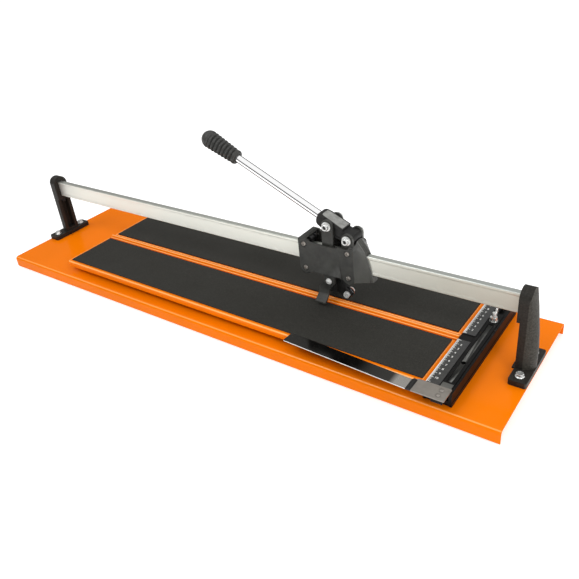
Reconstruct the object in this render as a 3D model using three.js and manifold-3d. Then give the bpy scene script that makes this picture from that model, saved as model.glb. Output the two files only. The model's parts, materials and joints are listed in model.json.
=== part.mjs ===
// Manual tile cutter with one guide rail, in millimetres, +Z up.
// X runs along the rail, Y away from the person who uses it, Z up from the bench.
import * as THREE from 'three';
import { ConvexGeometry } from 'three/addons/geometries/ConvexGeometry.js';
import { mergeVertices } from 'three/addons/utils/BufferGeometryUtils.js';
import Module from 'manifold-3d';

const wasm = await Module();
wasm.setup();

// ---------------------------------------------------------------- driving dimensions
const GAP = 0.3;                 // clearance between pieces that touch

// base tray, a folded steel sheet on four rubber feet
const BASE_LENGTH = 1000;
const BASE_WIDTH = 260;
const BASE_TOP = 22;
const BASE_SHEET = 2;
const LIP_BOTTOM = 1.5;
const FOLD_RADIUS = 6;
const FOOT_X = 440;
const FOOT_Y = 105;
const FOOT_RADIUS = 13;

// sprung tables and their rubber pads
const TABLE_LEFT = -344.5;
const TABLE_RIGHT = 391.2;
const TABLE_TOP = 41.5;
const TABLE_SHEET = 1.5;
const TABLE_INNER_Y = 7.8;
const TABLE_OUTER_Y = 111;
const TABLE_FLANGE = 11;
const TABLE_FOLD = 3;
const PAD_TOP = 44;
const PAD_INSET_X = 6;
const PAD_INNER_Y = 10.5;
const PAD_OUTER_Y = 105.5;
const PAD_CORNER = 1.5;

// breaking ridge between the tables
const RIDGE_HALF = 5.6;
const RIDGE_TOP = 44.8;
const RIDGE_CROWN = 3;

// compression springs under the tables
const SPRING_X = [-230, 280];
const SPRING_Y = 59;
const SPRING_RADIUS = 7;
const SPRING_WIRE = 1.1;
const SPRING_TURNS = 4;

// end supports and the guide rail
const SUPPORT_OUTER_X = 500;
const SUPPORT_INNER_X = 475;
const SUPPORT_PLATE_HALF = 42;
const SUPPORT_PLATE_TOP = 30.5;
const COLUMN_HALF = 15;
const SUPPORT_TOP = 150;
const SUPPORT_BOLT_X = 487;
const SUPPORT_BOLT_Y = 29;
const COLUMN_INNER_X = 471.5;
const COLUMN_EDGE_X = 485;       // where the flat front and back walls end and the round outer side begins
const COLUMN_ROUND = 13.4;
const COLUMN_REACH = [[SUPPORT_PLATE_TOP - 2, 499.5], [65, 499], [105, 495], [138, 490], [SUPPORT_TOP, 486.5]];
const CHANNEL_HALF = 8;
const CHANNEL_TOP = 100;
const RAIL_HALF_LENGTH = 481.5;
const RAIL_WIDTH = 10;
const RAIL_BOTTOM = 110;
const RAIL_TOP = 140;
const RAIL_MID = (RAIL_BOTTOM + RAIL_TOP) / 2;
const RAIL_SCREW_X = 478;

// measuring fence at the right end of the tables
const FENCE_LEFT = 392;
const FENCE_RIGHT = 432;
const FENCE_HALF_LENGTH = 119;
const FENCE_BOTTOM = BASE_TOP + GAP;
const RULER_SEAT = 44.1;
const RULER_TOP = 45.6;
const RULER_RIGHT = 411;
const RULER_END_Y = 112.5;
const RULER_GAP_Y = 8;
const GROOVE_LEFT = 411.5;
const GROOVE_RIGHT = 428.5;
const GROOVE_FLOOR = 41;
const BAR_LEFT = 412;
const BAR_RIGHT = 428;
const BAR_FRONT_Y = -140;
const BAR_REAR_Y = 75;
const BAR_TOP = 45.7;
const CLAMP_X = 420;
const CLAMP_Y = 54;
const SET_SCREW_Y = 32;

// stop arm riveted on the front end of the slide bar
const STOP_BOTTOM = 46;
const STOP_SHEET = 1.6;
const ARM_LENGTH = 200;
const ARM_WIDTH = 21;
const ARM_SKEW = 3;              // degrees that the arm leans towards the tables
const STOP_PLATE_LEFT = 384;
const RIVET_Y = [-121.5, -132];
const RIVET_X = 419;

// carriage, given in its own frame: x from the middle of the cover screws
const CARRIAGE_X = 186.5;
const COVER_HALF_X = 48;
const COVER_FACE_Y = 20;
const COVER_WALL = 3.5;
const COVER_BOTTOM = 101;
const COVER_TOP = 155;
const COVER_DIP = 149.5;
const COVER_SEAM = 0.2;
const SCREW_X = 38;
const SCREW_Z = 20.5;            // above and below the middle of the rail
const LOBE_RADIUS = 10;
const FLANGE_Y = 8.5;
const FLANGE_EDGE = [[40, 99], [73, 99], [68, 124], [62, 141], [52, 156], [43, 166], [40, 166]];
const ROLLER_RADIUS = 5.2;
const ROLLER_FLANGE = 7.2;
const ROLLER_HALF = 5.4;
const ROLLER_FLANGE_Y = 7;

// lever, given in its own frame: origin at the pivot, handle towards -x
const PIVOT_X = 36.5;
const PIVOT_Z = 165.5;
const LEVER_ANGLE = 25;          // degrees above the horizontal
const LINK_ARM = 37;             // pivot to link bolt
const HEAD_HALF_Y = 11.5;
const HEAD_END = 60;
const HEAD_TOP = 8;
const HEAD_BOTTOM = -11;
const HEAD_BOSS = 9.5;
const ROD_RADIUS = 6;
const ROD_DROP = -2;             // rod axis below the pivot
const ROD_START = 43;
const ROD_END = 262;
const GRIP_START = 212;
const GRIP_END = 293;

// ram, links, breaker foot and scoring wheel, x from the middle of the carriage
const FOOT_BOLT_X = 0.5;
const FOOT_BOLT_Z = 87.5;
const FOOT_HEAD_Y = 18.3;
const HEAD_PATH = 6; // half width of the groove inside each cover for the head of the foot bolt
const RAM_RISE = 15.8;
const LINK_HALF_X = 9.8;
const LINK_INNER_Y = 11.9;
const LINK_OUTER_Y = 15.4;
const OPEN_PIVOT_HOLE = 4.7;
const RAM_INNER_Y = 6.3;
const RAM_OUTER_Y = 9.3;
const RAM_HALF_X = 9;
const RAM_BOTTOM = 66;
const RAM_BRIDGE_TOP = 91;
const RAM_TOP = 146;
const WHEEL_X = 25.5;
const WHEEL_Z = 65.5;
const WHEEL_RADIUS = 7.5;
const WHEEL_HALF = 0.8;
const ARM_HALF_Y = 4.5;
const TONGUE_LEFT = -21.5;
const TONGUE_RIGHT = -2.5;
const TONGUE_Z = 50;
const TONGUE_Y = 26;

// the middle of the footprint is the origin, so the rail lies this far behind it
const FOOTPRINT_SHIFT = -(BAR_FRONT_Y + BASE_WIDTH / 2) / 2;

// ---------------------------------------------------------------- finishes
const finish = (color, roughness, metalness) => new THREE.MeshStandardMaterial({ color, roughness, metalness });
const orangePaint = () => finish(0xee8023, 0.35, 0.0);
const blackPaint = () => finish(0x2b2a28, 0.5, 0.1);
const blackAnodised = () => finish(0x232323, 0.4, 0.6);
const railMetal = () => finish(0xcfd0cc, 0.35, 0.9);
const brightSteel = () => finish(0xc9c9c6, 0.25, 1.0);
const chrome = () => finish(0xe6e6e6, 0.1, 1.0);
const padRubber = () => finish(0x3a3934, 0.9, 0.0);
const gripRubber = () => finish(0x3b3b39, 0.8, 0.0);
const rulerMetal = () => finish(0x4a4b4a, 0.45, 0.7);
const carbide = () => finish(0x8d8f92, 0.3, 0.9);

// ---------------------------------------------------------------- shapes and solids
const rad = (degrees) => degrees * Math.PI / 180;

function outline(points) {
  return new THREE.Shape(points.map(([u, v]) => new THREE.Vector2(u, v)));
}

function arc(cx, cy, radius, from, to, steps) {
  return Array.from({ length: steps + 1 }, (_, i) => {
    const a = rad(from + (to - from) * i / steps);
    return [cx + radius * Math.cos(a), cy + radius * Math.sin(a)];
  });
}

function extrude(points, depth) {
  return new THREE.ExtrudeGeometry(outline(points), { depth, bevelEnabled: false });
}

// (y, z) outline carried along x
function alongX(points, x0, x1) {
  const axes = new THREE.Matrix4().makeBasis(
    new THREE.Vector3(0, 1, 0), new THREE.Vector3(0, 0, 1), new THREE.Vector3(1, 0, 0));
  return extrude(points, x1 - x0).applyMatrix4(axes).translate(x0, 0, 0);
}

// (x, z) outline carried along y
function alongY(points, y0, y1) {
  return extrude(points, y1 - y0).rotateX(Math.PI / 2).translate(0, y1, 0);
}

// (x, y) outline carried along z
function alongZ(points, z0, z1) {
  return extrude(points, z1 - z0).translate(0, 0, z0);
}

function block(x0, x1, y0, y1, z0, z1) {
  const box = new THREE.BoxGeometry(x1 - x0, y1 - y0, z1 - z0);
  return box.translate((x0 + x1) / 2, (y0 + y1) / 2, (z0 + z1) / 2);
}

function lathe(profile, segments) {
  return new THREE.LatheGeometry(profile.map(([r, h]) => new THREE.Vector2(r, h)), segments);
}

// turned about z: profile of [radius, z] from the axis to the axis
const turnedZ = (profile, segments = 16) => lathe(profile, segments).rotateX(Math.PI / 2);
// turned about y: profile of [radius, y]
const turnedY = (profile, segments = 16) => lathe(profile, segments);

function rodY(radius, y0, y1, x, z, segments = 16) {
  const rod = new THREE.CylinderGeometry(radius, radius, y1 - y0, segments);
  return rod.translate(x, (y0 + y1) / 2, z);
}

function rodZ(radius, z0, z1, x, y, segments = 16) {
  const rod = new THREE.CylinderGeometry(radius, radius, z1 - z0, segments).rotateX(Math.PI / 2);
  return rod.translate(x, y, (z0 + z1) / 2);
}

function solid(geometry) {
  const bare = geometry.clone();
  for (const name of Object.keys(bare.attributes)) {
    if (name !== 'position') bare.deleteAttribute(name);
  }
  const merged = mergeVertices(bare, 1e-4);
  return new wasm.Manifold(new wasm.Mesh({
    numProp: 3,
    vertProperties: new Float32Array(merged.attributes.position.array),
    triVerts: new Uint32Array(merged.index.array),
  }));
}

function geometryOf(manifold) {
  const mesh = manifold.getMesh();
  const geometry = new THREE.BufferGeometry();
  geometry.setAttribute('position', new THREE.BufferAttribute(mesh.vertProperties, mesh.numProp));
  geometry.setIndex(new THREE.BufferAttribute(mesh.triVerts, 1));
  geometry.computeVertexNormals();
  return geometry;
}

const joined = (...geometries) => geometryOf(geometries.map(solid).reduce((a, b) => a.add(b)));
const cut = (geometry, ...tools) => geometryOf(tools.map(solid).reduce((a, b) => a.subtract(b), solid(geometry)));
const common = (...geometries) => geometryOf(geometries.map(solid).reduce((a, b) => a.intersect(b)));

function addPiece(parent, name, geometry, material) {
  const mesh = new THREE.Mesh(geometry, material);
  mesh.name = name;
  parent.add(mesh);
  return mesh;
}

const mirrorY = (points) => points.map(([u, v]) => [-u, v]).reverse();

// the same piece on the other side of the rail: each face is turned to keep it pointing out
function mirrored(geometry) {
  const other = (geometry.index ? geometry.toNonIndexed() : geometry.clone()).scale(1, -1, 1);
  const corners = other.attributes.position;
  for (let i = 0; i < corners.count; i += 3) {
    const first = new THREE.Vector3().fromBufferAttribute(corners, i);
    const second = new THREE.Vector3().fromBufferAttribute(corners, i + 1);
    corners.setXYZ(i, second.x, second.y, second.z);
    corners.setXYZ(i + 1, first.x, first.y, first.z);
  }
  other.computeVertexNormals();
  return other;
}

// ---------------------------------------------------------------- base, feet and ridge
function basePlate() {
  const half = BASE_WIDTH / 2;
  const inner = half - BASE_SHEET;
  const underside = BASE_TOP - BASE_SHEET;
  const innerFold = FOLD_RADIUS - BASE_SHEET;
  const tray = alongX([
    [-half, LIP_BOTTOM],
    [-inner, LIP_BOTTOM],
    ...arc(-inner + innerFold, underside - innerFold, innerFold, 180, 90, 3),
    ...arc(inner - innerFold, underside - innerFold, innerFold, 90, 0, 3),
    [inner, LIP_BOTTOM],
    [half, LIP_BOTTOM],
    ...arc(half - FOLD_RADIUS, BASE_TOP - FOLD_RADIUS, FOLD_RADIUS, 0, 90, 4),
    ...arc(-half + FOLD_RADIUS, BASE_TOP - FOLD_RADIUS, FOLD_RADIUS, 90, 180, 4),
  ], -BASE_LENGTH / 2, BASE_LENGTH / 2);
  const holes = supportBoltPlaces().map(([x, y]) => rodZ(3.4, underside - 1, BASE_TOP + 1, x, y, 12));
  const fenceHoles = fenceScrewPlaces().map(([x, y]) => rodZ(3, underside - 1, BASE_TOP + 1, x, y, 12));
  return cut(tray, ...holes, ...fenceHoles);
}

function supportBoltPlaces() {
  return [-1, 1].flatMap((sx) => [-1, 1].map((sy) => [sx * SUPPORT_BOLT_X, sy * SUPPORT_BOLT_Y]));
}

function fenceScrewPlaces() {
  return [-1, 1].map((side) => [402, side * 80]);
}

function rubberFoot(x, y) {
  const top = BASE_TOP - BASE_SHEET - GAP;
  const profile = [[0, 0], [FOOT_RADIUS - 1, 0], [FOOT_RADIUS, 1], [FOOT_RADIUS - 2, top], [0, top]];
  return turnedZ(profile).translate(x, y, 0);
}

function breakingRidge() {
  const foot = BASE_TOP + GAP;
  return alongX([
    [-RIDGE_HALF, foot],
    [RIDGE_HALF, foot],
    [RIDGE_HALF, RIDGE_TOP - RIDGE_CROWN],
    ...arc(0, RIDGE_TOP - RIDGE_CROWN, RIDGE_CROWN, 0, 180, 6),
    [-RIDGE_HALF, RIDGE_TOP - RIDGE_CROWN],
  ], TABLE_LEFT, TABLE_RIGHT);
}

// ---------------------------------------------------------------- tables, pads, springs
function frontTable() {
  const low = TABLE_TOP - TABLE_FLANGE;
  const under = TABLE_TOP - TABLE_SHEET;
  const outer = -TABLE_OUTER_Y;
  const inner = -TABLE_INNER_Y;
  return alongX([
    [outer, low],
    [outer + TABLE_SHEET, low],
    [outer + TABLE_SHEET, under],
    [inner - TABLE_SHEET, under],
    [inner - TABLE_SHEET, low],
    [inner, low],
    [inner, TABLE_TOP],
    ...arc(outer + TABLE_FOLD, TABLE_TOP - TABLE_FOLD, TABLE_FOLD, 90, 180, 3),
  ], TABLE_LEFT, TABLE_RIGHT);
}

function frontPad() {
  const left = TABLE_LEFT + PAD_INSET_X;
  const right = TABLE_RIGHT - PAD_INSET_X;
  return alongZ([
    ...arc(left + PAD_CORNER, -PAD_OUTER_Y + PAD_CORNER, PAD_CORNER, 180, 270, 2),
    ...arc(right - PAD_CORNER, -PAD_OUTER_Y + PAD_CORNER, PAD_CORNER, 270, 360, 2),
    ...arc(right - PAD_CORNER, -PAD_INNER_Y - PAD_CORNER, PAD_CORNER, 0, 90, 2),
    ...arc(left + PAD_CORNER, -PAD_INNER_Y - PAD_CORNER, PAD_CORNER, 90, 180, 2),
  ], TABLE_TOP + GAP, PAD_TOP);
}

// one coil from the base to the underside of a table
function tableSpring() {
  const bottom = BASE_TOP + GAP + SPRING_WIRE;
  const top = TABLE_TOP - TABLE_SHEET - GAP - SPRING_WIRE;
  const stepsPerTurn = 8;
  const steps = SPRING_TURNS * stepsPerTurn;
  const points = Array.from({ length: steps + 1 }, (_, i) => {
    const turn = i / stepsPerTurn * 2 * Math.PI;
    const z = bottom + (top - bottom) * i / steps;
    return new THREE.Vector3(SPRING_RADIUS * Math.cos(turn), SPRING_RADIUS * Math.sin(turn), z);
  });
  const section = outline(arc(0, 0, SPRING_WIRE * 0.95, 0, 300, 5));
  return new THREE.ExtrudeGeometry(section, {
    steps, bevelEnabled: false, extrudePath: new THREE.CatmullRomCurve3(points),
  });
}

// ---------------------------------------------------------------- supports and rail
function rightSupport() {
  const foot = alongZ([
    ...arc(SUPPORT_INNER_X + 3, -SUPPORT_PLATE_HALF + 3, 3, 180, 270, 3),
    ...arc(SUPPORT_OUTER_X - 3, -SUPPORT_PLATE_HALF + 3, 3, 270, 360, 3),
    ...arc(SUPPORT_OUTER_X - 3, SUPPORT_PLATE_HALF - 3, 3, 0, 90, 3),
    ...arc(SUPPORT_INNER_X + 3, SUPPORT_PLATE_HALF - 3, 3, 90, 180, 3),
  ], BASE_TOP + GAP, SUPPORT_PLATE_TOP);
  const ring = arc(0, 0, 1, -90, 90, 8);
  const column = new ConvexGeometry(COLUMN_REACH.flatMap(([z, reach]) => [
    [COLUMN_INNER_X, -COLUMN_HALF],
    [COLUMN_EDGE_X, -COLUMN_HALF],
    ...ring.map(([x, y]) => [COLUMN_EDGE_X + x * (reach - COLUMN_EDGE_X), y * COLUMN_ROUND]),
    [COLUMN_EDGE_X, COLUMN_HALF],
    [COLUMN_INNER_X, COLUMN_HALF],
  ].map(([x, y]) => new THREE.Vector3(x, y, z))));
  const arch = alongX([
    [-COLUMN_HALF, 20],
    [COLUMN_HALF, 20],
    ...arc(0, SUPPORT_TOP - COLUMN_HALF, COLUMN_HALF, 0, 180, 10),
  ], 450, 510);
  const undercut = block(460, SUPPORT_INNER_X + 0.5, -20, 20, SUPPORT_PLATE_TOP + 1, 102.5);
  const channel = block(460, 488, -CHANNEL_HALF, CHANNEL_HALF, SUPPORT_PLATE_TOP + 6, CHANNEL_TOP);
  const halfRail = RAIL_WIDTH / 2 + GAP;
  const pocketEnd = RAIL_HALF_LENGTH + 0.5;
  const pocket = block(455, pocketEnd, -halfRail, halfRail, RAIL_BOTTOM - GAP, RAIL_TOP + GAP);
  const screwHole = rodZ(2.4, 90, RAIL_BOTTOM + 1, RAIL_SCREW_X, 0, 12);
  const boltHoles = [-1, 1].map((side) => rodZ(3.4, 20, 40, SUPPORT_BOLT_X, side * SUPPORT_BOLT_Y, 12));
  const body = joined(foot, cut(common(column, arch), undercut));
  return cut(body, channel, pocket, screwHole, ...boltHoles);
}

function supportBolt(x, y) {
  const seat = SUPPORT_PLATE_TOP + GAP;
  const washer = turnedZ([[0, 8], [3, 8], [3, seat], [6.2, seat], [6.2, seat + 1.4], [0, seat + 1.4]]);
  const head = rodZ(5.2, seat + 1, seat + 5.2, 0, 0, 6);
  return joined(washer, head).translate(x, y, 0);
}

function guideRail() {
  const half = RAIL_WIDTH / 2;
  const sideRecess = 0.6;
  const right = [
    [half - 1, RAIL_BOTTOM],
    [half, RAIL_BOTTOM + 1],
    [half, RAIL_BOTTOM + 4],
    [half - sideRecess, RAIL_BOTTOM + 5.5],
    [half - sideRecess, RAIL_TOP - 5.5],
    [half, RAIL_TOP - 4],
    [half, RAIL_TOP - 1],
    [half - 1, RAIL_TOP],
  ];
  const bar = alongX([...right, ...mirrorY(right)], -RAIL_HALF_LENGTH, RAIL_HALF_LENGTH);
  const holes = [-1, 1].map((side) => rodZ(2.3, RAIL_BOTTOM - 1, RAIL_BOTTOM + 14, side * RAIL_SCREW_X, 0, 12));
  return cut(bar, ...holes);
}

function railScrew(side) {
  const top = RAIL_BOTTOM + 12;
  const seat = CHANNEL_TOP - GAP;
  const profile = [[0, seat - 4], [3.4, seat - 4], [3.4, seat], [2, seat], [2, top], [0, top]];
  return turnedZ(profile, 12).translate(side * RAIL_SCREW_X, 0, 0);
}

// ---------------------------------------------------------------- fence and stop
function fenceProfile() {
  const body = alongY([
    [FENCE_LEFT, FENCE_BOTTOM],
    [FENCE_RIGHT, FENCE_BOTTOM],
    [FENCE_RIGHT, BAR_TOP - 0.7],
    [GROOVE_RIGHT, BAR_TOP - 0.7],
    [GROOVE_RIGHT, GROOVE_FLOOR],
    [424, GROOVE_FLOOR],
    [424, 37],
    [427, 37],
    [427, 31],
    [413, 31],
    [413, 37],
    [416, 37],
    [416, GROOVE_FLOOR],
    [GROOVE_LEFT, GROOVE_FLOOR],
    [GROOVE_LEFT, RULER_SEAT],
    [FENCE_LEFT, RULER_SEAT],
  ], -FENCE_HALF_LENGTH, FENCE_HALF_LENGTH);
  const screwHoles = fenceScrewPlaces().map(([x, y]) => rodZ(2.6, FENCE_BOTTOM - 1, 34, x, y, 12));
  const setHole = rodZ(1.2, 38, 50, 430.2, SET_SCREW_Y, 8);
  return cut(body, ...screwHoles, setHole);
}

function fenceScrew(x, y) {
  const seat = BASE_TOP - BASE_SHEET - GAP;
  return turnedZ([[0, seat - 3], [4.5, seat - 3], [4.5, seat], [2.2, seat], [2.2, 32], [0, 32]], 12).translate(x, y, 0);
}

function setScrew() {
  const seat = BAR_TOP - 0.7 + GAP;
  const profile = [[0, 40], [0.9, 40], [0.9, seat], [1.6, seat], [1.6, seat + 0.8], [0, seat + 0.8]];
  return turnedZ(profile, 8).translate(430.2, SET_SCREW_Y, 0);
}

function ruler(y0, y1) {
  return block(FENCE_LEFT + 0.5, RULER_RIGHT, y0, y1, RULER_SEAT + GAP, RULER_TOP);
}

function slideBar() {
  const bar = block(BAR_LEFT, BAR_RIGHT, BAR_FRONT_Y, BAR_REAR_Y, GROOVE_FLOOR + GAP, BAR_TOP);
  const rivetHoles = RIVET_Y.map((y) => rodZ(2.2, 35, 50, RIVET_X, y, 10));
  const clampHoles = [CLAMP_Y, -CLAMP_Y].map((y) => rodZ(3.3, 35, 50, CLAMP_X, y, 14));
  return cut(bar, ...rivetHoles, ...clampHoles);
}

function stopArm() {
  const top = STOP_BOTTOM + STOP_SHEET;
  const plate = alongZ([
    [STOP_PLATE_LEFT, BAR_FRONT_Y],
    [430, BAR_FRONT_Y],
    [430, -114],
    [STOP_PLATE_LEFT, -114.5],
    [376, -119],
    [376, BAR_FRONT_Y],
  ], STOP_BOTTOM, top);
  const arm = block(-ARM_LENGTH, 0, 0, ARM_WIDTH, 0, STOP_SHEET);
  arm.rotateZ(-rad(ARM_SKEW)).translate(377, BAR_FRONT_Y, STOP_BOTTOM);
  const bead = alongY([[377.5, top - 0.5], [384.5, top - 0.5], [382.8, top + 1.6], [379.2, top + 1.6]],
    BAR_FRONT_Y, -118);
  const holes = RIVET_Y.map((y) => rodZ(2.2, 40, 55, RIVET_X, y, 10));
  return cut(joined(plate, arm, bead), ...holes);
}

function stopRivet(y) {
  const seat = STOP_BOTTOM + STOP_SHEET + GAP;
  const dome = arc(0, seat - 1.2, 4.2, 17, 90, 4).map(([r, z]) => [Math.abs(r) < 1e-6 ? 0 : r, z]);
  return turnedZ([[0, 42], [1.9, 42], [1.9, seat], ...dome], 12).translate(RIVET_X, y, 0);
}

function clampBolt() {
  const head = block(-6.5, 6.5, -5.5, 5.5, 31.5, 36.6);
  const shank = rodZ(3, 36, 61, 0, 0, 14);
  return joined(head, shank).translate(CLAMP_X, CLAMP_Y, 0);
}

function wingNut() {
  const seat = BAR_TOP + GAP;
  const hub = turnedZ([[0, seat], [6, seat], [5, seat + 8], [0, seat + 8]], 16);
  const wing = alongX([
    [2, seat + 1.5],
    [8, seat + 4],
    [13, seat + 9],
    [13.5, seat + 14],
    [11, seat + 15],
    [7, seat + 10],
    [2, seat + 7],
  ], -1.4, 1.4);
  const other = wing.clone().rotateZ(Math.PI);
  return cut(joined(hub, wing, other), rodZ(3.35, seat - 1, seat + 10, 0, 0, 14)).translate(CLAMP_X, CLAMP_Y, 0);
}

// ---------------------------------------------------------------- carriage
function frontCover() {
  const lowZ = RAIL_MID - SCREW_Z;
  const body = alongY([
    [-COVER_HALF_X, lowZ],
    ...arc(-SCREW_X, lowZ, LOBE_RADIUS, 180, 320, 8),
    [-24, COVER_BOTTOM],
    [26, COVER_BOTTOM],
    ...arc(SCREW_X, lowZ, LOBE_RADIUS, 220, 300, 6),
    [COVER_HALF_X, 98],
    [COVER_HALF_X, COVER_TOP],
    [30, COVER_TOP],
    [22, COVER_DIP + 2],
    [-26, COVER_DIP],
    [-34, COVER_TOP],
    [-COVER_HALF_X + 3, COVER_TOP],
    [-COVER_HALF_X, COVER_TOP - 3],
  ], -COVER_FACE_Y, -COVER_SEAM);
  const cheek = new ConvexGeometry([
    [40, COVER_FACE_Y, 99],
    [COVER_HALF_X, COVER_FACE_Y, 99],
    [40, COVER_FACE_Y, COVER_TOP],
    [COVER_HALF_X, COVER_FACE_Y, COVER_TOP - 4],
    [40, 13, 165],
    ...[COVER_SEAM, FLANGE_Y].flatMap((y) => FLANGE_EDGE.map(([x, z]) => [x, y, z])),
  ].map(([x, y, z]) => new THREE.Vector3(x, -y, z)));
  const ear = alongY([
    [27, 150],
    [46, 150],
    ...arc(PIVOT_X, PIVOT_Z, HEAD_BOSS, 0, 180, 10),
  ], -16, -LINK_INNER_Y);
  const inside = -(COVER_FACE_Y - COVER_WALL);
  const cavity = block(-COVER_HALF_X + 2.5, 46, inside, 1, 90, 153);
  const well = block(-39, 27, inside, 1, 140, 170);
  const leverSlot = block(20, 47, -LINK_INNER_Y, 1, 142.5, 180);
  const boltRecess = rodY(10.4, -30, -16, PIVOT_X, PIVOT_Z, 24);
  const headTop = FOOT_BOLT_Z + RAM_RISE;
  const headPath = joined(
    block(FOOT_BOLT_X - HEAD_PATH, FOOT_BOLT_X + HEAD_PATH, -FOOT_HEAD_Y - GAP, inside + 1, 90, headTop),
    rodY(HEAD_PATH, -FOOT_HEAD_Y - GAP, inside + 1, FOOT_BOLT_X, headTop, 20),
  );
  const railWay = block(-60, 90, -6.6, 1, RAIL_BOTTOM - 1.5, RAIL_TOP + 1.5);
  const lowWay = block(40, 68, -6.6, 1, 90, 112);
  const screwHoles = coverScrewPlaces().map(([x, z]) => rodY(2.3, -30, 1, x, z, 12));
  const recesses = coverScrewPlaces().map(([x, z]) => rodY(4.6, -30, -COVER_FACE_Y + 1.4, x, z, 16));
  const pivotHole = rodY(4.3, -30, 1, PIVOT_X, PIVOT_Z, 14);
  const shell = cut(joined(body, cheek), cavity, well, leverSlot, boltRecess, headPath, railWay, lowWay);
  return cut(joined(shell, ear), ...screwHoles, ...recesses, pivotHole);
}

function coverScrewPlaces() {
  return [-1, 1].flatMap((sx) => [-1, 1].map((sz) => [sx * SCREW_X, RAIL_MID + sz * SCREW_Z]));
}

// pan head in front, nut end behind: the screw is the axle of its roller
function coverScrew(x, z) {
  const seat = -COVER_FACE_Y + 1.4 - GAP;
  const back = COVER_FACE_Y - 2.5;
  return turnedY([[0, seat - 2.2], [3, seat - 2.2], [4, seat], [2, seat], [2, back], [0, back]], 16).translate(x, 0, z);
}

function roller(x, z) {
  const bore = 2.3;
  return turnedY([
    [bore, -ROLLER_FLANGE_Y],
    [ROLLER_FLANGE, -ROLLER_FLANGE_Y],
    [ROLLER_FLANGE, -ROLLER_HALF],
    [ROLLER_RADIUS, -ROLLER_HALF],
    [ROLLER_RADIUS, ROLLER_HALF],
    [ROLLER_FLANGE, ROLLER_HALF],
    [ROLLER_FLANGE, ROLLER_FLANGE_Y],
    [bore, ROLLER_FLANGE_Y],
    [bore, -ROLLER_FLANGE_Y],
  ], 18).translate(x, 0, z);
}

// ---------------------------------------------------------------- lever
function leverHead() {
  const body = alongY([
    ...arc(0, 0, HEAD_BOSS, -110, 70, 10),
    [-8, 4],
    [-13, 4],
    [-13.6, HEAD_TOP],
    [-HEAD_END + 7, HEAD_TOP],
    [-HEAD_END, HEAD_TOP - 5],
    [-HEAD_END, HEAD_BOTTOM + 5],
    [-HEAD_END + 7, HEAD_BOTTOM],
    [-20, HEAD_BOTTOM],
  ], -HEAD_HALF_Y, HEAD_HALF_Y);
  const plan = alongZ([
    [12, -HEAD_HALF_Y],
    [12, HEAD_HALF_Y],
    [-HEAD_END + 12, HEAD_HALF_Y],
    [-HEAD_END - 1, HEAD_HALF_Y - 4],
    [-HEAD_END - 1, -HEAD_HALF_Y + 4],
    [-HEAD_END + 12, -HEAD_HALF_Y],
  ], -20, 20);
  const socket = new THREE.CylinderGeometry(ROD_RADIUS + GAP, ROD_RADIUS + GAP, 50, 20).rotateZ(Math.PI / 2);
  socket.translate(-ROD_START - 25 + GAP, 0, ROD_DROP);
  const pivotHole = rodY(4.3, -20, 20, 0, 0, 14);
  const linkHole = rodY(4.3, -20, 20, -LINK_ARM, 0, 14);
  return cut(common(body, plan), socket, pivotHole, linkHole);
}

function leverRod() {
  const rod = new THREE.CylinderGeometry(ROD_RADIUS, ROD_RADIUS, ROD_END - ROD_START, 20).rotateZ(Math.PI / 2);
  return rod.translate(-(ROD_START + ROD_END) / 2, 0, ROD_DROP);
}

// ribbed rubber sleeve with a domed end, drawn from its mouth to its tip
function grip() {
  const length = GRIP_END - GRIP_START;
  const bore = ROD_RADIUS + GAP;
  const blind = ROD_END - GRIP_START + GAP;
  const ribs = 5;
  const outer = Array.from({ length: 2 * ribs + 1 }, (_, i) => {
    const t = i / (2 * ribs);
    return [10.6 + 2.6 * t + (i % 2 ? 0.9 : 0), 6 + t * (length - 20)];
  });
  const tip = arc(0, length - 14.2, 14.2, 10, 90, 5).map(([r, h]) => [Math.abs(r) < 1e-6 ? 0 : r, h]);
  const profile = [[0, blind], [bore, blind], [bore, 0], [10.4, 0], [11.2, 2], ...outer, ...tip];
  return lathe([...profile].reverse().map(([r, h]) => [r, -h]), 20)
    .rotateZ(-Math.PI / 2).translate(-GRIP_START, 0, ROD_DROP);
}

function socketBolt(x, z, seatY, endY, shank) {
  const head = 5.2;
  return cut(turnedY([
    [0, -seatY - 7],
    [head, -seatY - 7],
    [head, -seatY - 1.4],
    [head + 2, -seatY - 1.4],
    [head + 2, -seatY],
    [shank, -seatY],
    [shank, endY],
    [0, endY],
  ], 18), rodY(2.6, -seatY - 10, -seatY - 4, 0, 0, 6)).translate(x, 0, z);
}

function hexNut(x, z, y0, y1, bore, size) {
  return cut(rodY(size, y0, y1, x, z, 6), rodY(bore, y0 - 1, y1 + 1, x, z, 14));
}

// ---------------------------------------------------------------- links, ram, foot, wheel
// drawn in the lever's frame turned back to the vertical: origin at the link bolt
function link(side, drop, shift) {
  const inner = side * LINK_INNER_Y;
  const outer = side * LINK_OUTER_Y;
  const body = alongY([
    ...arc(0, 0, LINK_HALF_X, 0, 180, 10),
    ...arc(shift, -drop, LINK_HALF_X, 180, 360, 10),
  ], Math.min(inner, outer), Math.max(inner, outer));
  const holes = [rodY(4.3, -20, 20, 0, 0, 14), rodY(OPEN_PIVOT_HOLE, -20, 20, shift, -drop, 14)];
  return cut(body, ...holes);
}

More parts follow.
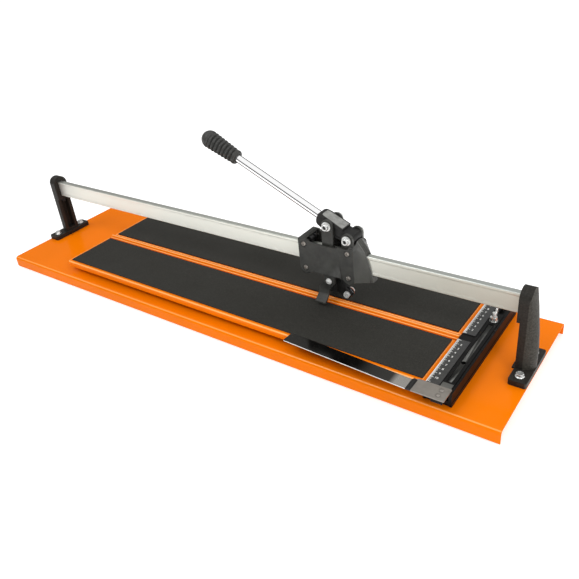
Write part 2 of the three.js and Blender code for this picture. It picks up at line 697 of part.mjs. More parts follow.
function ram() {
  const left = FOOT_BOLT_X - RAM_HALF_X;
  const right = FOOT_BOLT_X + RAM_HALF_X;
  const yoke = block(left, right, -RAM_OUTER_Y, RAM_OUTER_Y, RAM_BOTTOM, RAM_TOP);
  const railWay = block(-30, 30, -RAM_INNER_Y, RAM_INNER_Y, RAM_BRIDGE_TOP, RAM_TOP + 5);
  const arm = alongY([
    [2, 90],
    [2, 68],
    [14, 63],
    ...arc(WHEEL_X, WHEEL_Z, 6.5, 235, 420, 8),
    [12, 90],
  ], -ARM_HALF_Y, ARM_HALF_Y);
  const wheelSlot = rodY(WHEEL_RADIUS + 1.8, -WHEEL_HALF - 0.5, WHEEL_HALF + 0.5, WHEEL_X, WHEEL_Z, 20);
  const axleHole = rodY(2.8, -20, 20, WHEEL_X, WHEEL_Z, 12);
  const boltHole = rodY(3.3, -20, 20, FOOT_BOLT_X, FOOT_BOLT_Z, 14);
  return cut(joined(cut(yoke, railWay), arm), wheelSlot, axleHole, boltHole);
}

function footBolt() {
  const seat = LINK_OUTER_Y + GAP;
  return turnedY([
    [0, -FOOT_HEAD_Y],
    [4, -FOOT_HEAD_Y],
    [5.2, -seat - 1],
    [5.2, -seat],
    [3, -seat],
    [3, seat],
    [5.2, seat],
    [5.2, FOOT_HEAD_Y],
    [0, FOOT_HEAD_Y],
  ], 16).translate(FOOT_BOLT_X, 0, FOOT_BOLT_Z);
}

function breakerFoot() {
  const inner = RAM_OUTER_Y + GAP;
  const outer = LINK_INNER_Y - GAP;
  const cheeks = [-1, 1].map((side) => alongY([
    ...arc(FOOT_BOLT_X, FOOT_BOLT_Z, 7.5, -40, 110, 8),
    [TONGUE_LEFT, 72],
    [TONGUE_LEFT, 66],
    [TONGUE_RIGHT, 66],
  ], Math.min(side * inner, side * outer), Math.max(side * inner, side * outer)));
  const leg = [
    [inner, 70],
    [inner, 66.5],
    [TONGUE_Y - 3.4, TONGUE_Z],
    [TONGUE_Y, TONGUE_Z],
    [TONGUE_Y, TONGUE_Z + 2],
    [outer, 70],
  ];
  const legs = [leg, mirrorY(leg)].map((points) => alongX(points, TONGUE_LEFT, TONGUE_RIGHT));
  const bridge = block(TONGUE_LEFT, TONGUE_LEFT + 3, -inner - 1, inner + 1, 66, 72);
  const boltHole = rodY(3.3, -20, 20, FOOT_BOLT_X, FOOT_BOLT_Z, 14);
  return cut(joined(...cheeks, ...legs, bridge), boltHole);
}

function scoringWheel() {
  const bore = 2.7;
  return turnedY([
    [bore, -WHEEL_HALF],
    [WHEEL_RADIUS - 1.6, -WHEEL_HALF],
    [WHEEL_RADIUS, 0],
    [WHEEL_RADIUS - 1.6, WHEEL_HALF],
    [bore, WHEEL_HALF],
    [bore, -WHEEL_HALF],
  ], 24).translate(WHEEL_X, 0, WHEEL_Z);
}

function wheelAxle() {
  const seat = ARM_HALF_Y + GAP;
  const head = rodY(5.4, -seat - 4.6, -seat, 0, 0, 6);
  const shank = rodY(2.4, -seat - 1, 10.6, 0, 0, 12);
  return joined(head, shank).translate(WHEEL_X, 0, WHEEL_Z);
}

// ---------------------------------------------------------------- assembly
const tileCutter = new THREE.Group();
tileCutter.position.set(0, FOOTPRINT_SHIFT, 0);

function addBase(parent) {
  addPiece(parent, 'base_plate', basePlate(), orangePaint());
  addPiece(parent, 'breaking_ridge', breakingRidge(), orangePaint());
  addPiece(parent, 'front_table', frontTable(), orangePaint());
  addPiece(parent, 'rear_table', mirrored(frontTable()), orangePaint());
  addPiece(parent, 'front_pad', frontPad(), padRubber());
  addPiece(parent, 'rear_pad', mirrored(frontPad()), padRubber());
  [-1, 1].flatMap((sx) => [-1, 1].map((sy) => [sx * FOOT_X, sy * FOOT_Y])).forEach(([x, y], i) => {
    addPiece(parent, `rubber_foot_${i + 1}`, rubberFoot(x, y), gripRubber());
  });
  [-1, 1].flatMap((side) => SPRING_X.map((x) => [x, side * SPRING_Y])).forEach(([x, y], i) => {
    addPiece(parent, `table_spring_${i + 1}`, tableSpring(), brightSteel()).position.set(x, y, 0);
  });
}

function addSupports(parent) {
  addPiece(parent, 'right_support', rightSupport(), blackPaint());
  addPiece(parent, 'left_support', rightSupport(), blackPaint()).rotation.z = Math.PI;
  supportBoltPlaces().forEach(([x, y], i) => {
    addPiece(parent, `support_bolt_${i + 1}`, supportBolt(x, y), brightSteel());
  });
  addPiece(parent, 'guide_rail', guideRail(), railMetal());
  addPiece(parent, 'rail_screw_left', railScrew(-1), brightSteel());
  addPiece(parent, 'rail_screw_right', railScrew(1), brightSteel());
}

function addFence(parent) {
  addPiece(parent, 'fence_profile', fenceProfile(), blackAnodised());
  fenceScrewPlaces().forEach(([x, y], i) => {
    addPiece(parent, `fence_screw_${i + 1}`, fenceScrew(x, y), brightSteel());
  });
  addPiece(parent, 'fence_set_screw', setScrew(), brightSteel());
  addPiece(parent, 'front_ruler', ruler(-RULER_END_Y, -RULER_GAP_Y), rulerMetal());
  addPiece(parent, 'rear_ruler', ruler(RULER_GAP_Y, RULER_END_Y), rulerMetal());
  addPiece(parent, 'slide_bar', slideBar(), brightSteel());
  addPiece(parent, 'stop_arm', stopArm(), brightSteel());
  RIVET_Y.forEach((y, i) => addPiece(parent, `stop_rivet_${i + 1}`, stopRivet(y), brightSteel()));
  addPiece(parent, 'clamp_bolt', clampBolt(), brightSteel());
  addPiece(parent, 'wing_nut', wingNut(), chrome());
}

function addCarriage(parent) {
  const carriage = new THREE.Group();
  carriage.position.set(CARRIAGE_X, 0, 0);
  parent.add(carriage);
  const front = frontCover();
  addPiece(carriage, 'front_cover', front, blackPaint());
  addPiece(carriage, 'rear_cover', mirrored(front), blackPaint());
  coverScrewPlaces().forEach(([x, z], i) => {
    addPiece(carriage, `cover_screw_${i + 1}`, coverScrew(x, z), brightSteel());
    addPiece(carriage, `roller_${i + 1}`, roller(x, z), brightSteel());
  });
  addLever(carriage);
  addRam(carriage);
}

function addLever(carriage) {
  const lever = new THREE.Group();
  lever.position.set(PIVOT_X, 0, PIVOT_Z);
  lever.rotation.y = rad(LEVER_ANGLE);
  carriage.add(lever);
  addPiece(lever, 'lever_head', leverHead(), blackPaint());
  addPiece(lever, 'lever_rod', leverRod(), chrome());
  addPiece(lever, 'grip', grip(), gripRubber());
  addPiece(lever, 'pivot_bolt', socketBolt(0, 0, 16 + GAP, 23, 4), chrome());
  addPiece(lever, 'pivot_nut', hexNut(0, 0, 16 + GAP, 21, 4.3, 7), brightSteel());
  addPiece(lever, 'link_bolt', socketBolt(-LINK_ARM, 0, LINK_OUTER_Y + GAP, 23, 4), chrome());
  addPiece(lever, 'link_nut', hexNut(-LINK_ARM, 0, LINK_OUTER_Y + GAP, 20.6, 4.3, 7), brightSteel());
}

function addRam(carriage) {
  const boltX = PIVOT_X - LINK_ARM * Math.cos(rad(LEVER_ANGLE));
  const boltZ = PIVOT_Z + LINK_ARM * Math.sin(rad(LEVER_ANGLE));
  const drop = boltZ - FOOT_BOLT_Z;
  const shift = FOOT_BOLT_X - boltX;
  addPiece(carriage, 'front_link', link(-1, drop, shift), blackPaint()).position.set(boltX, 0, boltZ);
  addPiece(carriage, 'rear_link', link(1, drop, shift), blackPaint()).position.set(boltX, 0, boltZ);
  addPiece(carriage, 'ram', ram(), blackPaint());
  addPiece(carriage, 'foot_bolt', footBolt(), chrome());
  addPiece(carriage, 'breaker_foot', breakerFoot(), blackPaint());
  addPiece(carriage, 'scoring_wheel', scoringWheel(), carbide());
  addPiece(carriage, 'wheel_axle', wheelAxle(), chrome());
  addPiece(carriage, 'axle_nut', hexNut(WHEEL_X, WHEEL_Z, ARM_HALF_Y + GAP, 9.4, 2.7, 5.4), chrome());
}

addBase(tileCutter);
addSupports(tileCutter);
addFence(tileCutter);
addCarriage(tileCutter);

export default tileCutter;
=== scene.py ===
"""Manual tile cutter: fine surface, materials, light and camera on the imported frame.

Lengths in this file are in millimetres until a mesh is made. X runs along the guide rail,
Y away from the person who uses the machine, Z up from the bench.
"""
import json
import math

import bmesh
import bpy
from mathutils import Matrix, Vector


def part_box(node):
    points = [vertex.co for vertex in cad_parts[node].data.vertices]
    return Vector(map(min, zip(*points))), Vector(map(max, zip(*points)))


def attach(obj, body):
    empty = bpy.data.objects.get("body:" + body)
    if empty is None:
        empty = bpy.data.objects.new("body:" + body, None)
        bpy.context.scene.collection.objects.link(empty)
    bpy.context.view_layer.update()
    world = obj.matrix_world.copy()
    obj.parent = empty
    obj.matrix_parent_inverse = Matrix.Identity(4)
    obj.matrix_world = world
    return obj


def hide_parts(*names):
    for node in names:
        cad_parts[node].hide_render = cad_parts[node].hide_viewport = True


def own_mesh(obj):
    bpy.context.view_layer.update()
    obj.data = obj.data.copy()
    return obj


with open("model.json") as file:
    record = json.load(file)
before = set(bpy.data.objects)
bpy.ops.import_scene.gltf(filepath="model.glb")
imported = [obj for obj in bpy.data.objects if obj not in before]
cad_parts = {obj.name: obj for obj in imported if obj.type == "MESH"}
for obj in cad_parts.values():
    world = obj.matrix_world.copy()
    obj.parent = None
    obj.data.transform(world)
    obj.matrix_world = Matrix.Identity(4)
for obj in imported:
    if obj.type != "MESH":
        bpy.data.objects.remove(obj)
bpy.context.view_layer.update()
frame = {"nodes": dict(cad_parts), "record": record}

MM = 0.001
RECORD = frame["record"]
BODY_OF = {node: body for body, nodes in RECORD["behaviour"]["bodies"].items() for node in nodes}
SLOT_OF = {part["node"]: part["material_slot"] for part in RECORD["subparts"]}


def box(node):
    """Lowest and highest corner of a CAD node, in millimetres."""
    low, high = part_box(node)
    return Vector(low) / MM, Vector(high) / MM


def centre(node):
    low, high = box(node)
    return (low + high) / 2


# ---- places taken from the frame
RAIL_LOW, RAIL_HIGH = box("guide_rail")
MID_Y = centre("guide_rail").y
RAIL_MID = (RAIL_LOW.z + RAIL_HIGH.z) / 2
SCREWS = [centre(f"cover_screw_{i}") for i in (1, 2, 3, 4)]
CARRIAGE_X = sum(p.x for p in SCREWS) / 4
PIVOT = Vector((centre("pivot_nut").x, MID_Y, centre("pivot_nut").z))
LINK_PIN = Vector((centre("link_nut").x, MID_Y, centre("link_nut").z))
FOOT_PIN = Vector((centre("foot_bolt").x, MID_Y, centre("foot_bolt").z))
WHEEL = Vector((centre("scoring_wheel").x, MID_Y, centre("scoring_wheel").z))
LINK_ARM = math.hypot(PIVOT.x - LINK_PIN.x, PIVOT.z - LINK_PIN.z)
LEVER_ANGLE = math.atan2(LINK_PIN.z - PIVOT.z, PIVOT.x - LINK_PIN.x)

# camera at the photograph's viewing angle, in metres and degrees
CAMERA_PLACE = (0.66667, -0.70990 + MID_Y * MM, 0.59669)
CAMERA_TURN = (58.333, 5.472, 35.449)
CAMERA_LENS = 40.09

# ---- driving dimensions
TRAY_SHEET = 2.0
TRAY_FOLD = 6.0                  # outer radius of the folds
TABLE_SHEET = 1.5
TABLE_FOLD = 3.0
TABLE_INNER_FOLD = 1.6           # the tighter edge next to the ridge
RIDGE_CROWN = 3.0
PAD_ROUNDING = 0.7
PAD_DIP = 0.12                   # depth of the slow waves in the pads' tops
SPRING_WIRE = 1.0                # radius
SPRING_TURNS = 5

SUPPORT_HALF = 15.0
SUPPORT_PLATE = (475, 500, -42, 42)
PLATE_TOP = 30.5
SUPPORT_BOLT_X = 487
SUPPORT_BOLT_Y = 29
RAIL_SCREW_X = 478
RAIL_GAP = 0.3                   # around the rail's end in its pocket

FENCE_LEFT = 392
FENCE_RIGHT = 432
FENCE_SCREW_X = 402
FENCE_SCREW_Y = 80
FENCE_SEAT = 44.1                # the shelf under the rulers
GROOVE_FLOOR = 41.0
RULER_CENTIMETRES = 11
CLAMP_X = 420
CLAMP_Y = 54
STOP_SHEET = 1.6
STOP_FRONT = 140                 # from the rail's middle, as all the distances along Y here
STOP_RIVET_X = 419
STOP_RIVET_Y = (-121.5, -132)
BLADE_LENGTH = 200
BLADE_SKEW = 3                   # degrees

COVER_FACE = 20
COVER_INSIDE = 16.5
COVER_SEAM = 0.2
CHEEK_EDGE = [(73, 99), (70.8, 112), (68, 124), (65.4, 133), (62, 141), (57.4, 149), (52, 156), (47.6, 161.4)]
ROLLER_Z = 20.5                  # from the rail's middle to the screws that the rollers turn on
LEVER_HALF = 11.5
LEVER_SLOT = 11.9
LINK_OUTSIDE = 15.4
LINK_RADIUS = 9.8
LEVER_BOLT_HOLE = 4.3            # radius
FOOT_BOLT_HOLE = 3.3
AXLE_HOLE = 2.8
ROD_HEIGHT = -2                  # of the rod's axis, in the lever's own frame
ROD_RADIUS = 6.3
ROD_BORE = 6.5
ROD_FAR_END = -262
GRIP_MOUTH = -219.5
GRIP_TIP = -290.5
GRIP_RIBS = 7
FOOT_CHEEK = 9.6                 # inner face of the breaker foot's cheeks
FOOT_SHEET = 2.0
WHEEL_RADIUS = 7.5


# ---- outlines
def arc(cx, cy, radius, start, end, steps=8, rise=None):
    """Points on an arc, angles in degrees; rise is the second radius of an ellipse."""
    points = []
    for i in range(steps + 1):
        a = math.radians(start + (end - start) * i / steps)
        points.append((cx + radius * math.cos(a), cy + (rise or radius) * math.sin(a)))
    return points


def rounded_box(x0, x1, y0, y1, radius, steps=5):
    return [
        *arc(x0 + radius, y0 + radius, radius, 180, 270, steps),
        *arc(x1 - radius, y0 + radius, radius, 270, 360, steps),
        *arc(x1 - radius, y1 - radius, radius, 0, 90, steps),
        *arc(x0 + radius, y1 - radius, radius, 90, 180, steps),
    ]


def smooth_curve(points, steps=6):
    """Catmull-Rom points through an open list of points."""
    padded = [points[0], *points, points[-1]]
    result = []
    for i in range(1, len(padded) - 2):
        p0, p1, p2, p3 = (Vector(p) for p in padded[i - 1:i + 3])
        for k in range(steps):
            t = k / steps
            result.append(tuple(0.5 * (2 * p1 + (p2 - p0) * t + (2 * p0 - 5 * p1 + 4 * p2 - p3) * t ** 2
                                       + (3 * p1 - p0 - 3 * p2 + p3) * t ** 3)))
    return result + [tuple(points[-1])]


# ---- meshes
def in_scene(name, data):
    obj = bpy.data.objects.new(name, data)
    bpy.context.scene.collection.objects.link(obj)
    return obj


def set_smooth(obj, smooth):
    for polygon in obj.data.polygons:
        polygon.use_smooth = smooth
    return obj


def new_object(name, bm):
    """A mesh object in metres, from a mesh in millimetres."""
    bmesh.ops.remove_doubles(bm, verts=bm.verts, dist=0.0005)
    bmesh.ops.recalc_face_normals(bm, faces=bm.faces)
    bmesh.ops.scale(bm, vec=(MM, MM, MM), verts=bm.verts)
    mesh = bpy.data.meshes.new(name)
    bm.to_mesh(mesh)
    bm.free()
    return set_smooth(in_scene(name, mesh), True)


def band(bm, first, second):
    """Faces between two closed rings of vertices."""
    count = len(first)
    for k in range(count):
        n = (k + 1) % count
        bm.faces.new((first[k], first[n], second[n], second[k]))


def placed(axis, u, v, w):
    """A point of an outline (u, v) at height w along the axis."""
    return {"x": (w, u, v), "y": (u, w, v), "z": (u, v, w)}[axis]


def prism(name, outline, axis, start, end):
    """An outline carried along an axis: (y, z) along x, (x, z) along y, (x, y) along z."""
    bm = bmesh.new()
    rings = [[bm.verts.new(placed(axis, u, v, w)) for u, v in outline] for w in (start, end)]
    bm.faces.new(rings[0])
    bm.faces.new(rings[1])
    band(bm, *rings)
    return new_object(name, bm)


def block(name, low, high):
    """A box between two corners."""
    outline = [(low[0], low[1]), (high[0], low[1]), (high[0], high[1]), (low[0], high[1])]
    return prism(name, outline, "z", low[2], high[2])


def hexagon_outline(radius, x=0, z=0, turn=0):
    return [(x + u, z + v) for u, v in arc(0, 0, radius, turn, turn + 300, 5)]


def turned(name, profile, axis, place=(0, 0, 0), segments=48):
    """A profile of (radius, height) turned about an axis; it starts and ends on the axis or closes."""
    bm = bmesh.new()
    closed = profile[0] == profile[-1]
    rings = []
    for radius, height in profile[:-1] if closed else profile:
        ring = []
        for k in range(segments if radius else 1):
            a = 2 * math.pi * k / segments
            point = around(axis, radius * math.cos(a), radius * math.sin(a), height, place)
            ring.append(bm.verts.new(point))
        rings.append(ring)
    pairs = list(zip(rings, rings[1:])) + ([(rings[-1], rings[0])] if closed else [])
    for first, second in pairs:
        if len(first) == len(second):
            if len(first) > 1:
                band(bm, first, second)
            continue
        for k in range(segments):
            n = (k + 1) % segments
            if len(first) == 1:
                bm.faces.new((first[0], second[k], second[n]))
            else:
                bm.faces.new((first[k], first[n], second[0]))
    return new_object(name, bm)


def around(axis, a, b, height, place):
    """A point at a height along the axis and (a, b) across it, moved to its place."""
    point = {"x": (height, a, b), "y": (a, height, b), "z": (a, b, height)}[axis]
    return tuple(p + q for p, q in zip(point, place))


def rod(name, radius, axis, start, end, place=(0, 0, 0), segments=32):
    return turned(name, [(0, start), (radius, start), (radius, end), (0, end)], axis, place, segments)


def hull(name, points):
    """The convex solid round a set of points."""
    bm = bmesh.new()
    for point in points:
        bm.verts.new(point)
    result = bmesh.ops.convex_hull(bm, input=bm.verts)
    bmesh.ops.delete(bm, geom=[v for v in result["geom_interior"] if isinstance(v, bmesh.types.BMVert)],
                     context="VERTS")
    bmesh.ops.dissolve_limit(bm, angle_limit=math.radians(1), verts=bm.verts, edges=bm.edges)
    return new_object(name, bm)


def apply_modifiers(obj):
    graph = bpy.context.evaluated_depsgraph_get()
    mesh = bpy.data.meshes.new_from_object(obj.evaluated_get(graph))
    obj.modifiers.clear()
    obj.data = mesh
    return obj


def combine(obj, operation, tools):
    """Boolean steps in exact mode; the tools are used up."""
    for tool in tools:
        step = obj.modifiers.new("combine", "BOOLEAN")
        step.operation = operation
        step.solver = "EXACT"
        step.object = tool
        apply_modifiers(obj)
        bpy.data.objects.remove(tool)
    return obj


def cut(obj, *tools):
    return combine(obj, "DIFFERENCE", tools)


def fused(obj, *tools):
    return combine(obj, "UNION", tools)


def common(obj, *tools):
    return combine(obj, "INTERSECT", tools)


def soften(obj, width, segments=2, angle=28):
    """Rounds the edges and keeps the flat faces flat in shading."""
    bevel = obj.modifiers.new("rounded edges", "BEVEL")
    bevel.width = width * MM
    bevel.segments = segments
    bevel.limit_method = "ANGLE"
    bevel.angle_limit = math.radians(angle)
    bevel.miter_outer = "MITER_ARC"
    weighted = obj.modifiers.new("flat faces", "WEIGHTED_NORMAL")
    weighted.weight = 100
    weighted.keep_sharp = True
    return set_smooth(obj, True)


def sharp_shading(obj, angle=35):
    set_smooth(obj, True)
    obj.data.set_sharp_from_angle(angle=math.radians(angle))
    return obj


MODIFIER_KEYS = ("width", "segments", "limit_method", "angle_limit", "miter_outer", "weight", "keep_sharp")


def mirrored(obj, name):
    """A copy of a piece on the other side of the rail."""
    mesh = obj.data.copy()
    flip = Matrix.Translation((0, 2 * MID_Y * MM, 0)) @ Matrix.Diagonal((1, -1, 1, 1))
    mesh.transform(flip)
    mesh.flip_normals()
    other = in_scene(name, mesh)
    for source in obj.modifiers:
        copy = other.modifiers.new(source.name, source.type)
        for key in MODIFIER_KEYS:
            if hasattr(source, key):
                setattr(copy, key, getattr(source, key))
    return other


def move(obj, matrix):
    obj.data.transform(matrix)
    return obj


def shift_by(x, y, z):
    return Matrix.Translation(Vector((x, y, z)) * MM)


def lever_frame():
    """From the lever's own frame (pivot at the origin, handle towards -x) to the machine's."""
    return Matrix.Translation(PIVOT * MM) @ Matrix.Rotation(LEVER_ANGLE, 4, "Y")


# ---- pieces and the frame
def trim(obj, material, node):
    """A small added detail that goes with a node's body."""
    obj.data.materials.clear()
    obj.data.materials.append(material)
    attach(obj, BODY_OF[node])


def stands_for(obj, material, node):
    """The fine form of a CAD node, which it replaces."""
    trim(obj, material, node)
    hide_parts(node)


def second_finish(obj, material, chosen):
    """One more material, on the faces that the test picks."""
    obj.data.materials.append(material)
    for polygon in obj.data.polygons:
        if chosen(polygon):
            polygon.material_index = len(obj.data.materials) - 1


# ---- materials
def srgb(r, g, b):
    """A colour from its 0 to 255 screen values."""
    def linear(c):
        c /= 255
        return c / 12.92 if c <= 0.04045 else ((c + 0.055) / 1.055) ** 2.4
    return (linear(r), linear(g), linear(b), 1)


def shaded(color, factor):
    return tuple(min(1, c * factor) for c in color[:3]) + (1,)


def tones(*rows):
    """Stops of a colour ramp from (position, red, green, blue)."""
    return [(position, srgb(*color)) for position, *color in rows]


def pair(dark, light, start=0.3, end=0.7):
    return [(start, srgb(*dark)), (end, srgb(*light))]


def color_ramp(tree, value, stops):
    node = tree.nodes.new("ShaderNodeValToRGB")
    elements = node.color_ramp.elements
    elements[0].position, elements[0].color = stops[0]
    elements[1].position, elements[1].color = stops[-1]
    for position, color in stops[1:-1]:
        elements.new(position).color = color
    tree.links.new(value, node.inputs["Fac"])
    return node.outputs["Color"]


class Surface:
    """A Principled material with layers of procedural detail in the piece's own coordinates."""

    def __init__(self, name, roughness, metallic=0.0, **sockets):
        self.material = bpy.data.materials.new(name)
        self.material.use_nodes = True
        self.tree = self.material.node_tree
        self.shader = self.tree.nodes["Principled BSDF"]
        for socket, value in dict(Roughness=roughness, Metallic=metallic, **sockets).items():
            self.shader.inputs[socket.replace("_", " ")].default_value = value
        self.place = self.node("TexCoord")
        self.normal = None

    def link(self, source, target):
        self.tree.links.new(source, target)

    def node(self, kind, **values):
        """A shader node with some of its inputs set."""
        node = self.tree.nodes.new("ShaderNode" + kind)
        for socket, value in values.items():
            node.inputs[socket.replace("_", " ")].default_value = value
        return node

    def noise(self, scale, detail=2.0, stretch=(1, 1, 1), roughness=0.5):
        mapping = self.node("Mapping", Scale=stretch)
        self.link(self.place.outputs["Object"], mapping.inputs["Vector"])
        texture = self.node("TexNoise", Scale=scale, Detail=detail, Roughness=roughness)
        self.link(mapping.outputs["Vector"], texture.inputs["Vector"])
        return texture.outputs["Fac"]

    def along(self, axis, start, end):
        """0 to 1 along one axis of the piece, in metres."""
        split = self.node("SeparateXYZ")
        self.link(self.place.outputs["Object"], split.inputs["Vector"])
        share = self.node("MapRange", From_Min=start, From_Max=end)
        self.link(split.outputs[axis], share.inputs["Value"])
        return share.outputs["Result"]

    def cells(self, scale):
        texture = self.node("TexVoronoi", Scale=scale)
        self.link(self.place.outputs["Object"], texture.inputs["Vector"])
        return texture.outputs["Distance"]

    def color(self, value, stops):
        self.link(color_ramp(self.tree, value, stops), self.shader.inputs["Base Color"])
        return self

    def roughness(self, value, low, high):
        share = self.node("MapRange", From_Min=0.3, From_Max=0.7, To_Min=low, To_Max=high)
        self.link(value, share.inputs["Value"])
        self.link(share.outputs["Result"], self.shader.inputs["Roughness"])
        return self

    def bump(self, value, strength, distance):
        """One more layer of relief, its depth in millimetres."""
        relief = self.node("Bump", Strength=strength, Distance=distance * MM)
        self.link(value, relief.inputs["Height"])
        if self.normal is not None:
            self.link(self.normal, relief.inputs["Normal"])
        self.normal = relief.outputs["Normal"]
        self.link(self.normal, self.shader.inputs["Normal"])
        return self


def layered(name, roughness, metallic, pattern, stops, gloss=None, relief=(), **sockets):
    """A material made of noise. A pattern is (scale, detail, stretch, roughness) or the start of it;
    gloss is (pattern, low, high), and relief has rows of (pattern, strength, depth)."""
    s = Surface(name, roughness, metallic, **sockets)
    s.color(s.noise(*pattern), stops)
    if gloss:
        s.roughness(s.noise(*gloss[0]), *gloss[1:])
    for grain, strength, depth in relief:
        s.bump(s.noise(*grain), strength, depth)
    return s.material


def orange_surface(name, tone, coat):
    stops = [(0.35, shaded(tone, 0.96)), (0.65, shaded(tone, 1.03))]
    return layered(name, 0.4, 0, (6, 3), stops, ((40, 4), 0.28, 0.4), [((420, 2), 0.05, 0.05)],
                   Coat_Weight=coat, Coat_Roughness=0.12, Specular_IOR_Level=0.02)


def black_paint(name, dark, light, specular):
    return layered(name, 0.5, 0, (60, 4), pair(dark, light), ((300, 3), 0.42, 0.58),
                   [((1500, 3), 0.18, 0.06), ((500, 2), 0.12, 0.08)], Specular_IOR_Level=specular)


def cast_black(name, dark, light):
    return layered(name, 0.55, 0, (420, 4, EVEN, 0.65), pair(dark, light, 0.34, 0.68),
                   ((500, 3), 0.45, 0.62), [((900, 3), 0.35, 0.1), ((350, 2), 0.2, 0.12)],
                   Specular_IOR_Level=0.22)


def pad_rubber():
    s = Surface("pad rubber", 0.85, Specular_IOR_Level=0.3)
    s.color(s.noise(900, 3, EVEN, 0.7), tones((0.32, 33, 32, 29), (0.5, 42, 41, 37), (0.68, 56, 55, 50)))
    s.roughness(s.noise(12, 3), 0.78, 0.92)
    s.bump(s.cells(1400), 0.3, 0.12)
    return s.bump(s.noise(2600, 2), 0.25, 0.1).material


def drawn_rail(name, metallic, stops):
    """Drawn steel with painted light; the stops give its tone from the left end to the right end."""
    s = Surface(name, 0.36, metallic)
    s.color(s.along("X", -0.5, 0.5), stops)
    lines = s.noise(1, 3, (12, 2600, 2600), 0.6)
    s.roughness(lines, 0.3, 0.46)
    return s.bump(lines, 0.12, 0.04).material


def blued_sheet():
    """Blued spring steel, with a painted reflection that brightens towards the bead at its right end."""
    s = Surface("blued spring steel, painted reflection", 0.14, 1.0)
    # the lighter colour is a painted reflection
    blue, worn = srgb(44, 43, 41), srgb(150, 147, 142)
    s.color(s.along("X", 0.30, 0.40), [(0.0, blue), (0.52, shaded(blue, 1.6)), (0.6, worn), (1.0, worn)])
    return s.roughness(s.noise(25, 4), 0.09, 0.2).material


def rod_chrome():
    """Hard chrome with a painted reflection: white in the middle of the rod, dark where the surface turns away.
    """
    s = Surface("hard chrome rod, painted reflection", 0.03, 1.0)
    facing = s.node("LayerWeight", Blend=0.5)
    s.color(facing.outputs["Facing"], tones((0.0, 252, 252, 252), (0.43, 250, 250, 250),
                                            (0.5, 92, 92, 90), (1.0, 50, 50, 48)))
    s.roughness(s.noise(60, 3), 0.02, 0.04)
    return s.bump(s.noise(400, 2), 0.02, 0.01).material


def zinc_plate(name, metallic):
    return layered(name, 0.3, metallic, (120, 4), pair((202, 203, 201), (224, 224, 221)),
                   ((400, 3), 0.22, 0.36), [((900, 2), 0.08, 0.03)])


# patterns: an even one's stretch, and fine lines along the piece
EVEN = (1, 1, 1)
DRAWN = (1, 2, (2500, 6, 2500))
DRAWN_RULER = (1, 2, (2500, 8, 2500))
GROUND = (1, 3, (3000, 30, 3000), 0.6)

ORANGE = orange_surface("orange paint", srgb(238, 119, 2), 0.12)
# A lighter, glossier orange: painted highlight on rounded edges, on the ridge's crown and on the tables' thin
# beads.
ORANGE_HIGHLIGHT = orange_surface("orange paint, painted highlight", srgb(255, 174, 96), 0.5)
# A lighter orange: painted highlight along the tray's folds.
ORANGE_FOLD_HIGHLIGHT = orange_surface("orange paint, painted highlight on the fold", srgb(250, 158, 76), 0.3)
BLACK = black_paint("black satin paint", (38, 38, 35), (54, 54, 50), 0.42)
# A lighter satin black: painted light on the carriage's sloping sides.
CHEEK_PAINTED_LIGHT = layered("satin paint, painted light on the sloping sides", 0.42, 0, (28, 4, (1, 1, 0.5)),
                tones((0.3, 46, 46, 42), (0.55, 66, 66, 61), (0.75, 86, 86, 80)),
                ((300, 3), 0.34, 0.5), [((1500, 3), 0.18, 0.06)], Specular_IOR_Level=0.6)
CAST = cast_black("granular black paint", (26, 24, 21), (46, 43, 38))
# A lighter copy of the granular paint: painted light on the supports' outer faces.
CAST_LIT = cast_black("granular black paint, painted light", (42, 39, 34), (70, 67, 60))
DARK_PAINT = black_paint("deep black paint", (20, 20, 19), (34, 33, 31), 0.25)
# A light grey satin: painted highlight on the lever head's top and on the rim of the cover's seam flange.
SATIN_HIGHLIGHT = layered("satin paint, painted highlight", 0.5, 0, (150, 4), pair((116, 116, 113), (146, 146, 142)),
                   relief=[((1500, 3), 0.15, 0.06)], Specular_IOR_Level=0.5)
ANODISED = layered("black anodised aluminium", 0.45, 0.2, (80, 3), pair((15, 15, 15), (26, 25, 24)),
                   (DRAWN, 0.4, 0.52), [(DRAWN, 0.08, 0.03)], Specular_IOR_Level=0.12)
PAD = pad_rubber()
GRIP = layered("grip rubber", 0.5, 0, (700, 3, EVEN, 0.7), pair((18, 18, 17), (62, 62, 59)),
               ((200, 3), 0.42, 0.6), [((900, 3), 0.6, 0.3)], Specular_IOR_Level=0.5)
FOOT = layered("foot rubber", 0.8, 0, (90, 4), pair((26, 26, 26), (36, 36, 35)),
               relief=[((1200, 3), 0.25, 0.08)])
# Painted light: the rail's sides lighter and darker along its length.
RAIL = drawn_rail("drawn rail steel", 0.5, tones(
    (0.0, 196, 199, 194), (0.1, 226, 226, 216), (0.3, 240, 240, 230), (0.68, 240, 240, 230),
    (0.88, 208, 205, 192), (1.0, 200, 197, 184)))
# Painted shade: the rail's top faces darker than its sides.
RAIL_PAINTED_DARK_TOP = drawn_rail("rail steel, painted darker top", 0.95, tones(
    (0.0, 184, 186, 178), (0.62, 190, 192, 184), (0.9, 178, 181, 176)))
ROD_CHROME_PAINTED_REFLECTION = rod_chrome()
